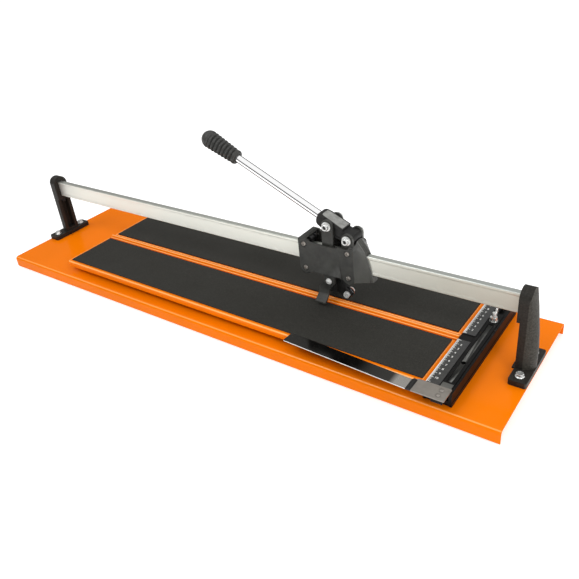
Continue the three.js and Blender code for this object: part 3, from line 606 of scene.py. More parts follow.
# Black oxide steel for screws and the stop's bead; also painted shade on the covers' undersides, round a boss
# and in socket recesses.
BLACK_OXIDE_AND_SHADE = layered("black oxide steel and painted shade", 0.42, 0.5, (150, 3), pair((30, 30, 30), (42, 42, 41)),
                      ((500, 3), 0.36, 0.52), [((1200, 2), 0.1, 0.03)])
SHEET = layered("cold rolled sheet", 0.4, 1.0, (50, 4), pair((140, 135, 129), (160, 154, 147)),
                ((180, 4), 0.36, 0.5), [((900, 3), 0.1, 0.04)])
BLADE_PAINTED_REFLECTION = blued_sheet()
DARK_STEEL = layered("dark satin steel", 0.4, 0.9, (9, 4, (1, 3, 1)),
                     tones((0.32, 74, 74, 72), (0.5, 104, 104, 101), (0.68, 132, 132, 128)),
                     (GROUND, 0.34, 0.5), [(GROUND, 0.08, 0.03)])
COPPER = layered("copper washer", 0.35, 0.6, (200, 3), pair((196, 128, 104), (218, 150, 124)),
                 ((300, 3), 0.24, 0.4))
# Zinc plated steel; also a painted highlight on the stop blade's front edge.
ZINC_AND_HIGHLIGHT = zinc_plate("zinc plated steel, also painted highlight", 0.8)
BRIGHT_ZINC = zinc_plate("bright zinc plate", 0.35)
CHROME = layered("polished chrome", 0.07, 1.0, (30, 3), pair((226, 227, 228), (236, 237, 238)),
                 ((60, 3), 0.05, 0.1))
CARBIDE = layered("ground hard metal", 0.25, 1.0, (200, 3), pair((140, 142, 146), (160, 162, 166)),
                  relief=[((1500, 2), 0.1, 0.02)])
RULER = layered("anodised ruler", 0.4, 0.2, (150, 3), pair((48, 48, 48), (60, 60, 59)),
                (DRAWN_RULER, 0.36, 0.48), [(DRAWN_RULER, 0.05, 0.02)])
MARKS = layered("ruler marks", 0.5, 0, (400, 3), pair((228, 228, 224), (244, 244, 240)),
                relief=[((1500, 2), 0.05, 0.02)])

BLACK_SCREWS = ("rail_screw_left", "rail_screw_right", "fence_set_screw", "roller_1", "roller_2", "roller_3",
                "roller_4", "fence_screw_1", "fence_screw_2")
CAD_FINISH = {"orange_paint": ORANGE, "pad_rubber": PAD, "foot_rubber": FOOT, "grip_rubber": GRIP,
              "black_paint": BLACK, "black_anodised": ANODISED, "rail_metal": RAIL, "ruler_metal": RULER,
              "bright_steel": ZINC_AND_HIGHLIGHT, "chrome": CHROME, "carbide": CARBIDE}


def finish_cad_nodes():
    """Every CAD node gets its slot's material and smooth round faces, for those that stay."""
    for node, obj in frame["nodes"].items():
        obj.data.materials.clear()
        obj.data.materials.append(BLACK_OXIDE_AND_SHADE if node in BLACK_SCREWS else CAD_FINISH[SLOT_OF[node]])
        sharp_shading(obj)


# ---- base
def base_tray():
    """Folded sheet, with a lip down at the front and the back, and a painted highlight along the folds."""
    low, high = box("base_plate")
    sheet, fold = TRAY_SHEET, TRAY_FOLD
    under = high.z - sheet
    inner = fold - sheet
    outline = [
        (low.y, low.z), (low.y + sheet, low.z),
        *arc(low.y + sheet + inner, under - inner, inner, 180, 90, 8),
        *arc(high.y - sheet - inner, under - inner, inner, 90, 0, 8),
        (high.y - sheet, low.z), (high.y, low.z),
        *arc(high.y - fold, high.z - fold, fold, 0, 90, 10),
        *arc(low.y + fold, high.z - fold, fold, 90, 180, 10),
    ]
    tray = prism("folded_tray", outline, "x", low.x, high.x)
    stands_for(soften(tray, 0.5, 2, 35), ORANGE, "base_plate")
    # painted highlight on the fold faces that tilt towards the top
    second_finish(tray, ORANGE_FOLD_HIGHLIGHT, lambda face: 0.7 < face.normal.z < 0.9)


def rubber_feet():
    for i in (1, 2, 3, 4):
        node = f"rubber_foot_{i}"
        low, high = box(node)
        middle = centre(node)
        wide = (high.x - low.x) / 2
        profile = [(0, low.z + 2), (4, low.z + 2), (4.6, low.z), (wide - 1.5, low.z), (wide, low.z + 1.5),
                   (wide - 0.8, low.z + 9), (wide - 2, high.z), (0, high.z)]
        foot = turned(f"moulded_foot_{i}", profile, "z", (middle.x, middle.y, 0))
        stands_for(soften(foot, 0.5), FOOT, node)


def ridge():
    """The bar between the tables that the tile breaks over, with a painted highlight on its crown."""
    low, high = box("breaking_ridge")
    crown = RIDGE_CROWN
    outline = [
        (low.y, low.z), (high.y, low.z), (high.y, high.z - crown - 0.4), (high.y - 0.4, high.z - crown),
        *arc(MID_Y, high.z - crown, crown, 0, 180, 14),
        (low.y + 0.4, high.z - crown), (low.y, high.z - crown - 0.4),
    ]
    bar = prism("breaking_bar", outline, "x", low.x, high.x)
    stands_for(soften(bar, 0.3, 2, 40), ORANGE, "breaking_ridge")
    # painted highlight on the crown's top faces
    second_finish(bar, ORANGE_HIGHLIGHT, lambda face: face.normal.z > 0.93)


# ---- tables, pads and springs
def table(node, name, side):
    """Folded sheet under a pad, with a painted highlight on its rounded edges and on thin beads where the sheet
    and the pad end.
    """
    low, high = box(node)
    sheet, fold, tight = TABLE_SHEET, TABLE_FOLD, TABLE_INNER_FOLD
    inner = fold - sheet
    width = high.y - low.y
    outline = [
        (0, low.z), (sheet, low.z),
        *arc(fold, high.z - fold, inner, 180, 90, 5),
        *arc(width - fold, high.z - fold, inner, 90, 0, 5),
        (width - sheet, low.z), (width, low.z),
        *arc(width - tight, high.z - tight, tight, 0, 90, 6),
        *arc(fold, high.z - fold, fold, 90, 180, 8),
    ]
    outer = low.y if side < 0 else high.y
    outline = [(outer - side * u, v) for u, v in outline]
    plate = prism(name, outline, "x", low.x, high.x)
    stands_for(soften(plate, 0.6, 3, 35), ORANGE, node)
    # painted highlight on the sloping faces of the rounded edges
    second_finish(plate, ORANGE_HIGHLIGHT, lambda face: 0.3 < face.normal.z < 0.93)
    pad_end = box(node.replace("table", "pad"))[1].x
    fence_start = box("fence_profile")[0].x
    # thin beads across the table, coloured as a painted highlight
    for end, x in (("left", low.x + 0.9), ("middle", pad_end + 0.9), ("right", fence_start - 0.9)):
        bead = rod(f"{name}_{end}_bead", 0.5, "y", low.y + 2, high.y - 2, (x, 0, high.z - 0.25), 12)
        trim(sharp_shading(bead), ORANGE_HIGHLIGHT, node)


def pad(node, name):
    """A rubber mat with slow waves in its top and soft edges."""
    low, high = box(node)
    bm = bmesh.new()
    rows, columns = 10, 60
    inset = PAD_ROUNDING
    grid = []
    for j in range(rows + 1):
        line = []
        for i in range(columns + 1):
            x = low.x + inset + (high.x - low.x - 2 * inset) * i / columns
            y = low.y + inset + (high.y - low.y - 2 * inset) * j / rows
            dip = PAD_DIP * math.sin(x * 0.021 + y * 0.03) ** 2
            line.append(bm.verts.new((x, y, high.z - dip)))
        grid.append(line)
    for j in range(rows):
        for i in range(columns):
            bm.faces.new((grid[j][i], grid[j][i + 1], grid[j + 1][i + 1], grid[j + 1][i]))
    rim = grid[0] + [row[-1] for row in grid[1:]] + grid[-1][-2::-1] + [row[0] for row in grid[-2:0:-1]]
    previous = rim
    for out, drop in ((0.45, 0.25), (inset, 0.7), (inset, high.z - low.z)):
        ring = []
        for vertex in rim:
            x = vertex.co.x + out * side_of(vertex.co.x, low.x + inset, high.x - inset)
            y = vertex.co.y + out * side_of(vertex.co.y, low.y + inset, high.y - inset)
            ring.append(bm.verts.new((x, y, high.z - drop)))
        band(bm, previous, ring)
        previous = ring
    bm.faces.new(previous)
    mat = sharp_shading(new_object(name, bm), 50)
    stands_for(mat, PAD, node)


def side_of(value, low, high):
    """-1 or 1 on one of the two edges, 0 between them."""
    if abs(value - low) < 1e-4:
        return -1
    return 1 if abs(value - high) < 1e-4 else 0


def coil(name, low, high, wire, turns):
    """A compression spring with closed ends."""
    bm = bmesh.new()
    middle = (low + high) / 2
    radius = (high.x - low.x) / 2 - wire
    bottom, top = low.z + wire, high.z - wire
    around_steps, ring_steps = 24, 10
    total = int(turns * around_steps)
    previous = None
    for i in range(total + 1):
        t = i / total
        a = 2 * math.pi * i / around_steps
        z = bottom + (top - bottom) * smooth_rise(t)
        out = Vector((math.cos(a), math.sin(a), 0))
        spot = Vector((middle.x, middle.y, z)) + out * radius
        ring = []
        for k in range(ring_steps):
            b = 2 * math.pi * k / ring_steps
            ring.append(bm.verts.new(spot + out * wire * math.cos(b) + Vector((0, 0, wire * math.sin(b)))))
        if previous:
            band(bm, previous, ring)
        else:
            bm.faces.new(ring)
        previous = ring
    bm.faces.new(previous)
    return new_object(name, bm)


def smooth_rise(t):
    """Flat at both ends, even in the middle."""
    ends = 0.12                  # share of the wire in the two closed ends
    return min(1, max(0, (t - ends / 2) / (1 - ends)))


def springs():
    joints = {1: "front_bed_sink", 2: "front_bed_sink", 3: "rear_bed_sink", 4: "rear_bed_sink"}
    for i, joint in joints.items():
        node = f"table_spring_{i}"
        low, high = box(node)
        spring = sharp_shading(coil(f"coil_spring_{i}", low, high, SPRING_WIRE, SPRING_TURNS), 60)
        stands_for(spring, ZINC_AND_HIGHLIGHT, node)
        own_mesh(spring)


# ---- supports and rail
def upright_hole(radius, x, y, low=35, high=50, segments=32):
    """A round cutter along z, y millimetres behind the rail's middle."""
    return rod("hole", radius, "z", low, high, (x, MID_Y + y, 0), segments)


def support(name, node, side):
    """Cast end support: flat front and back walls, a round outer side that leans in, and a dome on top."""
    low, high = box(node)
    half, edge, inner = SUPPORT_HALF, 485.0, 471.5
    foot = prism(name, [(side * x, MID_Y + y) for x, y in rounded_box(*SUPPORT_PLATE, 3.5)], "z",
                 low.z, PLATE_TOP)
    points = []
    outer_side = ((28.5, 499.5), (50, 499.4), (65, 499), (85, 497.4), (105, 495), (122, 492.8), (138, 490),
                  (145, 488.5), (150, 486.5))
    for z, reach in outer_side:
        round_side = arc(edge, 0, reach - edge, -90, 90, 18, 13.4)
        for x, y in [(inner, -half), (edge, -half), *round_side, (edge, half), (inner, half)]:
            points.append((side * x, MID_Y + y, z))
    arch = prism("arch", [(MID_Y - half, 20), (MID_Y + half, 20), *arc(MID_Y, 135, half, 0, 180, 28)], "x",
                 side * 450, side * 510)
    column = common(hull("column", points), arch)
    near, far = sorted((side * 460, side * 475.5))
    column = cut(column, block("undercut", (near, MID_Y - 20, PLATE_TOP + 1), (far, MID_Y + 20, 102.5)))
    body = fused(foot, column)
    near, far = sorted((side * 460, side * 488))
    channel = prism("channel", rounded_box(near, far, MID_Y - 8, MID_Y + 8, 2), "z", 36.5, 100)
    near, far = sorted((side * 455, side * 482))
    pocket = block("pocket", (near, RAIL_LOW.y - RAIL_GAP, RAIL_LOW.z - RAIL_GAP),
                   (far, RAIL_HIGH.y + RAIL_GAP, RAIL_HIGH.z + RAIL_GAP))
    body = cut(body, channel, pocket)
    bolt_x = side * SUPPORT_BOLT_X
    holes = [upright_hole(3.4, bolt_x, y, 20, 40) for y in (-SUPPORT_BOLT_Y, SUPPORT_BOLT_Y)]
    body = cut(body, *holes, upright_hole(2.4, side * RAIL_SCREW_X, 0, 90, 111))
    stands_for(soften(body, 1.1, 3), CAST, node)
    # painted light on the faces that turn outwards
    second_finish(body, CAST_LIT, lambda face: side * face.normal.x > 0.3 and abs(face.normal.z) < 0.6)


def flange_bolt(name, node):
    """Hexagon head with a round flange, its top dished; the shank goes down through the plate."""
    low, high = box(node)
    middle = centre(node)
    spot = (middle.x, middle.y, 0)
    seat = PLATE_TOP + 0.3
    washer = turned(name, [(0, low.z), (3, low.z), (3, seat), (6.2, seat), (6.2, seat + 0.7),
                           (5.4, seat + 1.5), (0, seat + 1.5)], "z", spot)
    head = prism("head", hexagon_outline(5.4, middle.x, middle.y), "z", seat + 1, high.z)
    crown = turned("crown", [(0, seat), (5.9, seat), (5.9, high.z - 1.2), (4.4, high.z), (0, high.z)],
                   "z", spot)
    dish = turned("dish", [(0, high.z - 0.5), (2.6, high.z - 0.3), (3.4, high.z + 1), (0, high.z + 1)],
                  "z", spot)
    bolt = fused(washer, cut(common(head, crown), dish))
    stands_for(soften(bolt, 0.18), ZINC_AND_HIGHLIGHT, node)


def rail():
    """Solid bar, its sides a little hollow between two flat edges."""
    half = (RAIL_HIGH.y - RAIL_LOW.y) / 2
    chamfer, edge, hollow = 0.9, 4, 0.6
    low, high = RAIL_LOW.z, RAIL_HIGH.z
    side = [
        (half - chamfer, low), (half, low + chamfer), (half, low + edge), (half - hollow, low + edge + 1.2),
        (half - hollow, high - edge - 1.2), (half, high - edge), (half, high - chamfer), (half - chamfer, high),
    ]
    outline = [(MID_Y + y, z) for y, z in side] + [(MID_Y - y, z) for y, z in reversed(side)]
    bar = prism("rail_bar", outline, "x", RAIL_LOW.x, RAIL_HIGH.x)
    stands_for(soften(bar, 0.25, 2, 20), RAIL, "guide_rail")
    # painted shade on the top faces
    second_finish(bar, RAIL_PAINTED_DARK_TOP, lambda face: face.normal.z > 0.5)


# ---- fence, rulers and stop
def fence():
    """Extrusion with a shelf for the rulers and a T-groove for the slide bar."""
    low, high = box("fence_profile")
    left, right, seat, floor = FENCE_LEFT, FENCE_RIGHT, FENCE_SEAT, GROOVE_FLOOR
    outline = [
        (left, low.z), (left + 4, low.z), (left + 4, low.z + 1), (right - 4, low.z + 1), (right - 4, low.z),
        (right, low.z), (right, 28), (right - 0.6, 28.6), (right - 0.6, 39), (right, 39.6), (right, high.z),
        (428.5, high.z), (428.5, floor), (424, floor), (424, 37), (427, 37), (427, 31), (413, 31),
        (413, 37), (416, 37), (416, floor), (411.5, floor), (411.5, seat), (left, seat),
    ]
    bar = prism("fence_bar", outline, "y", low.y, high.y)
    holes = [upright_hole(2.6, FENCE_SCREW_X, y, low.z - 1, 34, 24) for y in (-FENCE_SCREW_Y, FENCE_SCREW_Y)]
    holes.append(upright_hole(1.2, 430.2, 32, 38, 50, 24))
    stands_for(soften(cut(bar, *holes), 0.35), ANODISED, "fence_profile")


def ruler(node, name, step):
    """A strip with a bright edge, millimetre marks and centimetre numbers, counted away from the ridge."""
    low, high = box(node)
    strip = prism(name, rounded_box(low.x, high.x, low.y, high.y, 0.6), "z", low.z, high.z - 0.06)
    stands_for(soften(strip, 0.15, 2, 40), RULER, node)
    edge = block(f"{name}_edge", (low.x + 0.2, low.y + 0.5, high.z - 0.1),
                 (low.x + 1.3, high.y - 0.5, high.z - 0.02))
    trim(edge, MARKS, node)
    bm = bmesh.new()
    top, base = high.z, high.z - 0.1
    for k in range(1, 10 * RULER_CENTIMETRES + 1):
        y = MID_Y + step * k
        if not low.y + 0.8 < y < high.y - 0.8:
            continue
        length = 4.6 if k % 10 == 0 else 3.4 if k % 5 == 0 else 2.2
        half = 0.2 if k % 10 else 0.3
        add_block(bm, (low.x + 1.3, y - half, base), (low.x + 1.3 + length, y + half, top))
    marks = new_object(f"{name}_marks", bm)
    trim(set_smooth(marks, False), MARKS, node)
    for k in range(1, RULER_CENTIMETRES + 1):
        y = MID_Y + step * 10 * k
        if low.y + 2.5 < y < high.y - 2.5:
            number(f"{name}_number_{k}", str(k), (low.x + 9.6, y, base), node)


def add_block(bm, low, high):
    """One more box in a mesh under construction."""
    corners = [bm.verts.new((x, y, z)) for z in (low[2], high[2]) for y in (low[1], high[1])
               for x in (low[0], high[0])]
    for face in ((0, 2, 3, 1), (4, 5, 7, 6), (0, 1, 5, 4), (2, 6, 7, 3), (0, 4, 6, 2), (1, 3, 7, 5)):
        bm.faces.new([corners[i] for i in face])


def number(name, text, place, node):
    """A printed figure, as thin raised letters."""
    curve = bpy.data.curves.new(name, "FONT")
    curve.body = text
    curve.size = 5.0 * MM
    curve.align_x = "CENTER"
    curve.align_y = "CENTER"
    curve.extrude = 0.04 * MM
    curve.offset = 0.08 * MM
    source = in_scene(name + "_text", curve)
    graph = bpy.context.evaluated_depsgraph_get()
    mesh = bpy.data.meshes.new_from_object(source.evaluated_get(graph))
    bpy.data.objects.remove(source)
    mesh.transform(Matrix.Translation(Vector(place) * MM + Vector((0, 0, 0.05 * MM))))
    trim(set_smooth(in_scene(name, mesh), False), MARKS, node)


def slide_bar():
    """Flat bar in the fence, with a long groove whose floor is worn bright, and a bright heel."""
    low, high = box("slide_bar")
    bar = prism("flat_bar", rounded_box(low.x, high.x, low.y, high.y, 1.0), "z", low.z, high.z)
    holes = [upright_hole(3.3, CLAMP_X, y) for y in (-CLAMP_Y, CLAMP_Y)]
    holes += [upright_hole(2.2, STOP_RIVET_X, y) for y in STOP_RIVET_Y]
    floor = high.z - 1.0
    groove = prism("groove", rounded_box(416.4, 423.1, MID_Y - 99.4, MID_Y + 44, 1.4), "z", floor, high.z + 5)
    stands_for(soften(cut(bar, *holes, groove), 0.3), ANODISED, "slide_bar")
    strip = prism("bar_strip", rounded_box(416.6, 422.9, MID_Y - 99.2, MID_Y + 43.8, 1.2), "z", floor,
                  high.z - 0.85)
    trim(cut(strip, upright_hole(3.3, CLAMP_X, -CLAMP_Y)), DARK_STEEL, "slide_bar")
    heel = prism("bar_heel", rounded_box(412.6, 427.4, MID_Y - 113.6, MID_Y - 103, 0.5), "z", high.z - 0.02,
                 high.z + 0.18)
    trim(soften(heel, 0.08), DARK_STEEL, "slide_bar")


def stop_arm():
    """Sheet steel: a riveted plate with a black bead at its left end, and the long blued blade."""
    bottom = box("stop_arm")[0].z
    top = bottom + STOP_SHEET
    front = MID_Y - STOP_FRONT
    left, right, root = 384, 430, 377
    plate = prism("stop_plate", [
        (left, front), (right - 1, front), (right, front + 1), (right, front + 25), (right - 1, front + 26),
        (left + 1, front + 25.5), (root, front + 21), (root, front),
    ], "z", bottom, top)
    bead = prism("bead", [
        (root, bottom), (384.5, bottom), (384.5, top), (383.2, top + 1.4), (382.2, top + 1.6),
        (380, top + 1.6), (379, top + 1.4), (377.6, top),
    ], "y", front, front + 22)
    holes = [upright_hole(2.2, STOP_RIVET_X, y, 40, 55) for y in STOP_RIVET_Y]
    plate = cut(fused(plate, bead), *holes)
    stands_for(soften(plate, 0.25), SHEET, "stop_arm")
    second_finish(plate, BLACK_OXIDE_AND_SHADE, lambda face: face.center.x < 384.6 * MM)
    tip, width = -BLADE_LENGTH, 21
    blade = prism("stop_blade", [
        (tip, 0.8), (tip + 0.8, 0), (0, 0), (0, width), (tip + 0.8, width), (tip, width - 0.8),
    ], "z", bottom, top)
    skew = Matrix.Rotation(math.radians(-BLADE_SKEW), 4, "Z")
    move(blade, shift_by(root, front, 0) @ skew)
    trim(soften(blade, 0.25), BLADE_PAINTED_REFLECTION, "stop_arm")
    # painted highlight along the blade's front edge
    second_finish(blade, ZINC_AND_HIGHLIGHT, lambda face: face.normal.y < -0.5)


def stop_rivets():
    """Flat round heads on the stop's plate."""
    seat = box("stop_arm")[0].z + STOP_SHEET + 0.3
    wide, crown = 3.3, 1.2
    dome = arc(0, seat, wide, 12, 84, 6, crown)
    for i, y in enumerate(STOP_RIVET_Y, 1):
        node = f"stop_rivet_{i}"
        foot = box(node)[0].z
        profile = [(0, foot), (1.9, foot), (1.9, seat), (wide, seat), *dome, (0, seat + crown)]
        rivet = turned(f"rivet_{i}", profile, "z", (STOP_RIVET_X, MID_Y + y, 0))
        stands_for(sharp_shading(rivet, 50), SHEET, node)


def clamp_bolt():
    """T-headed bolt with a real thread form, as rings."""
    low, high = box("clamp_bolt")
    x, y = CLAMP_X, MID_Y + CLAMP_Y
    head = block("t_bolt", (x - 6.5, y - 5.5, low.z), (x + 6.5, y + 5.5, 36.6))
    thread = [(0, 36)]
    for k in range(int(high.z - 37)):
        thread += [(2.65, 36.2 + k), (3.0, 36.6 + k)]
    thread += [(2.4, high.z - 0.3), (0, high.z)]
    shank = turned("shank", thread, "z", (x, y, 0), 32)
    stands_for(soften(fused(head, shank), 0.1, 1, 40), ZINC_AND_HIGHLIGHT, "clamp_bolt")


def wing_nut():
    """A round hub with two wings."""
    seat = box("wing_nut")[0].z
    hub = turned("wing_nut_form", [(0, seat), (6, seat), (6, seat + 1.2), (5.4, seat + 2), (4.8, seat + 7.2),
                                   (4.2, seat + 8), (0, seat + 8)], "z")
    outline = smooth_curve([(y, seat + z) for y, z in (
        (2, 1.8), (7.6, 4.2), (11.6, 7.8), (13.3, 12.2), (12.2, 14.8), (10.2, 14), (7.4, 10.2), (2, 7.2))], 5)
    wing = prism("wing", outline, "x", -1.35, 1.35)
    other = move(in_scene("wing", wing.data.copy()), Matrix.Rotation(math.pi, 4, "Z"))
    nut = cut(fused(hub, wing, other), rod("bore", 3.3, "z", seat - 1, seat + 10))
    move(nut, shift_by(CLAMP_X, MID_Y + CLAMP_Y, 0))
    stands_for(soften(nut, 0.55, 3), ZINC_AND_HIGHLIGHT, "wing_nut")


# ---- carriage
def level_hole(radius, spot, start, end, segments=32):
    """A round cutter along y through a point of the linkage."""
    return rod("hole", radius, "y", start, end, (spot.x, 0, spot.z), segments)


def cover(name):
    """The front half of the carriage, in the machine's frame."""
    x = CARRIAGE_X
    low_z = RAIL_MID - ROLLER_Z
    face, seam = MID_Y - COVER_FACE, MID_Y - COVER_SEAM
    inside = MID_Y - COVER_INSIDE

    def shift(points):
        return [(x + u, v) for u, v in points]

    def outer_hole(radius, spot, end=MID_Y + 1, segments=32):
        return level_hole(radius, spot, MID_Y - 30, end, segments)

    outline = shift([
        (-48, low_z), *arc(-38, low_z, 10, 180, 318, 18), (-26, 100.2), (-22, 101), (26, 101),
        *arc(38, low_z, 10, 214, 300, 12), (48, 98.5), (48, 151), (47, 153.5),
        *smooth_curve([(44.5, 155), (40, 153.6), (34, 152.2), (28, 152.8), (23.5, 154.2)], 5),
        *smooth_curve([(20, 151), (12, 150), (-22, 149.5), (-29, 150.6), (-34.5, 154.6)], 5),
        (-45, 155), (-47.4, 154), (-48, 151.5),
    ])
    body = prism(name, outline, "y", face, seam)
    cheek_edge = [*CHEEK_EDGE, (43, 166), (40, 166), (40, 99)]
    cheek = hull("cheek", [
        *[(x + u, MID_Y - y, z) for u, z in cheek_edge for y in (0.2, 6)],
        (x + 40, face, 99), (x + 48, face, 99), (x + 40, face, 154), (x + 48, face, 150),
    ])
    wider = [(u + 2 if u > 41 else u, z) for u, z in cheek_edge]
    flange = prism("flange", shift(wider), "y", MID_Y - 5.4, seam)
    keep = prism("keep", shift([*cheek_edge[:-2], (40, 180), (-60, 180), (-60, 80), (73, 80)]), "y",
                 MID_Y - 30, MID_Y + 1)
    flange = common(flange, keep)
    narrower = [(u - 2.6 if u > 41 else u, z) for u, z in cheek_edge]
    slope = prism("slope", shift(narrower), "y", MID_Y - 8.4, seam)
    shell = fused(body, cheek, flange, slope)
    cavity = block("cavity", (x - 45.5, inside, 90), (x + 46, MID_Y + 1, 152.5))
    well = prism("well", shift([(-39, 140), (-39, 153), *arc(-36, 156, 3, 180, 270, 1), (-36, 180), (27, 180),
                                (27, 140)]), "y", inside, MID_Y + 1)
    lever_slot = block("slot", (x + 20, MID_Y - LEVER_SLOT, 142.5), (x + 47, MID_Y + 1, 180))
    recess = outer_hole(10.4, PIVOT, MID_Y - 16, 48)
    path_x, path_z = FOOT_PIN.x, FOOT_PIN.z + 15.8        # where the foot bolt is, with the lever high
    head_path = block("head path", (path_x - 6, MID_Y - 18.6, 90), (path_x + 6, inside + 1, path_z))
    head_end = rod("head end", 6, "y", MID_Y - 18.6, inside + 1, (path_x, 0, path_z), 40)
    rail_way = block("rail way", (x - 60, MID_Y - 6.6, RAIL_LOW.z - 1.5),
                     (x + 90, MID_Y + 1, RAIL_HIGH.z + 1.5))
    low_way = block("low way", (x + 40, MID_Y - 6.6, 90), (x + 68, MID_Y + 1, 112))
    shell = cut(shell, cavity, well, lever_slot, recess, head_path, head_end, rail_way, low_way)
    ear = prism("ear", [(PIVOT.x - 9.5, 150), (PIVOT.x + 9.5, 150), *arc(PIVOT.x, PIVOT.z, 9.5, 0, 180, 24)],
                "y", MID_Y - 16, MID_Y - LEVER_SLOT)
    shell = fused(shell, ear)
    holes = [outer_hole(LEVER_BOLT_HOLE, PIVOT)]
    for spot in SCREWS:
        holes += [outer_hole(2.3, spot), outer_hole(4.7, spot, face + 1.4)]
    shell = cut(shell, *holes)
    return soften(shell, 1.6, 3)


def cheek_rim():
    """A painted highlight along the edge of the front half's seam flange."""
    outline = [(CARRIAGE_X + u - 0.15, v + 0.4) for u, v in CHEEK_EDGE]
    outline += [(CARRIAGE_X + u - 0.85, v + 0.4) for u, v in reversed(CHEEK_EDGE)]
    trim(prism("front_rim_highlight", outline, "y", MID_Y - 6.25, MID_Y - 5.9), SATIN_HIGHLIGHT, "front_cover")


def boss_edge():
    """A painted shadow round the boss under the front half's lower left screw."""
    x, z = CARRIAGE_X - 38, RAIL_MID - ROLLER_Z
    ring = [*arc(x, z, 10.05, 196, 322, 20), *reversed(arc(x, z, 8.7, 196, 322, 20))]
    trim(prism("boss_edge", ring, "y", MID_Y - 20.05, MID_Y - 18.5), BLACK_OXIDE_AND_SHADE, "front_cover")


def covers():
    """Both halves, with painted light on their sloping sides and painted shade on their undersides."""
    front = cover("front_cover_form")
    rear = mirrored(front, "rear_cover_form")
    for half, node in ((front, "front_cover"), (rear, "rear_cover")):
        stands_for(half, BLACK, node)
        # painted light on the faces that turn towards +x
        second_finish(half, CHEEK_PAINTED_LIGHT, lambda face: face.normal.x > 0.25 and face.normal.z < 0.75)
        # painted shade on the faces that look down
        second_finish(half, BLACK_OXIDE_AND_SHADE, lambda face: face.normal.z < -0.2)
    cheek_rim()
    boss_edge()


def cover_screws():
    """Pan heads with a six-sided recess; the far end is rounded over."""
    for i, spot in enumerate(SCREWS, 1):
        node = f"cover_screw_{i}"
        low, high = box(node)
        profile = [(0, low.y), (2.6, low.y), (3.6, low.y + 0.5), (4.0, low.y + 1.3), (4.0, low.y + 2.2),
                   (2, low.y + 2.2), (2, high.y - 0.5), (1.5, high.y), (0, high.y)]
        screw = turned(f"pan_screw_{i}", profile, "y", (spot.x, 0, spot.z))
        socket = prism("socket", hexagon_outline(1.9, spot.x, spot.z, 10), "y", low.y - 1, low.y + 1.5)
        stands_for(soften(cut(screw, socket), 0.12, 2, 35), SHEET, node)


# ---- lever
def lever_head():
    """Cast head: round at the pivot, a flat top, rounded shoulders at the rod's socket."""
    half = LEVER_HALF
    outline = [
        *arc(0, 0, 9.5, -115, 66, 24), (-7.6, 4.4), (-13, 4.4), (-13.6, 8), (-52, 8),
        *arc(-54, 2, 6, 90, 180, 8), *arc(-54, -5, 6, 180, 270, 8), (-20, -11),
    ]
    body = prism("lever_head_form", outline, "y", -half, half)
    plan = prism("plan", [
        (12, -half), (12, half), *smooth_curve([(-46, half), (-54, 10), (-60, 7)], 5),
        (-61, 7), (-61, -7), *smooth_curve([(-60, -7), (-54, -10), (-46, -half)], 5),
    ], "z", -20, 20)
    body = common(body, plan)
    socket = rod("socket", ROD_BORE, "x", -70, -42.7, (0, 0, ROD_HEIGHT), 40)
    holes = [rod("hole", LEVER_BOLT_HOLE, "y", -20, 20, (spot, 0, 0)) for spot in (0, -LINK_ARM)]
    relief = [block("relief", (-30, y - 1.2, -8.5), (-11, y + 1.2, 3.2)) for y in (-half, half)]
    body = cut(body, socket, *holes, *relief)
    soften(body, 0.8, 3)
    stands_for(move(body, lever_frame()), DARK_PAINT, "lever_head")
    # a thin plate on the head's top, coloured as a painted highlight
    top = prism("lever_head_top_highlight", [*smooth_curve([(-50.5, -8.6), (-53.2, -6), (-53.2, 6), (-50.5, 8.6)], 5),
                                   (-15.2, 9.6), (-15.2, -9.6)], "z", 7.7, 8.12)
    trim(soften(move(top, lever_frame()), 0.15), SATIN_HIGHLIGHT, "lever_head")


def lever_rod():
    radius, near, far = ROD_RADIUS, -43, ROD_FAR_END
    profile = [(0, far), (radius - 0.6, far), (radius, far + 0.6), (radius, near - 0.4), (radius - 0.4, near),
               (0, near)]
    bar = turned("rod_bar", profile, "x", (0, 0, ROD_HEIGHT), 64)
    stands_for(sharp_shading(move(bar, lever_frame())), ROD_CHROME_PAINTED_REFLECTION, "lever_rod")


def grip():
    """Rubber sleeve: collar at its mouth, rib rings that grow towards a domed end."""
    mouth, tip, bottom = GRIP_MOUTH, GRIP_TIP, ROD_FAR_END - 0.3
    profile = [(0, bottom), (ROD_BORE, bottom), (ROD_BORE, mouth - 4), (ROD_BORE, mouth), (9.6, mouth),
               (10.6, mouth - 0.8), (11.4, mouth - 3), (11.2, mouth - 6)]
    start, end = mouth - 8, tip + 17
    step = (end - start) / GRIP_RIBS
    rib = ((0.0, -2.2), (0.12, -1.6), (0.24, 0.4), (0.4, 1.3), (0.6, 1.4), (0.76, 0.9), (0.9, -1.4))
    for k in range(GRIP_RIBS):
        at = start + (end - start) * k / GRIP_RIBS
        base = 10.5 + 2.4 * k / GRIP_RIBS
        profile += [(base + rise, at + step * share) for share, rise in rib]
    profile += [(14.0 * math.cos(math.radians(a)), tip + 14.6 - 14.6 * math.sin(math.radians(a)))
                for a in range(0, 90, 9)]
    profile.append((0, tip))
    sleeve = turned("ribbed_sleeve", profile, "x", (0, 0, ROD_HEIGHT), 72)
    stands_for(sharp_shading(move(sleeve, lever_frame()), 50), GRIP, "grip")


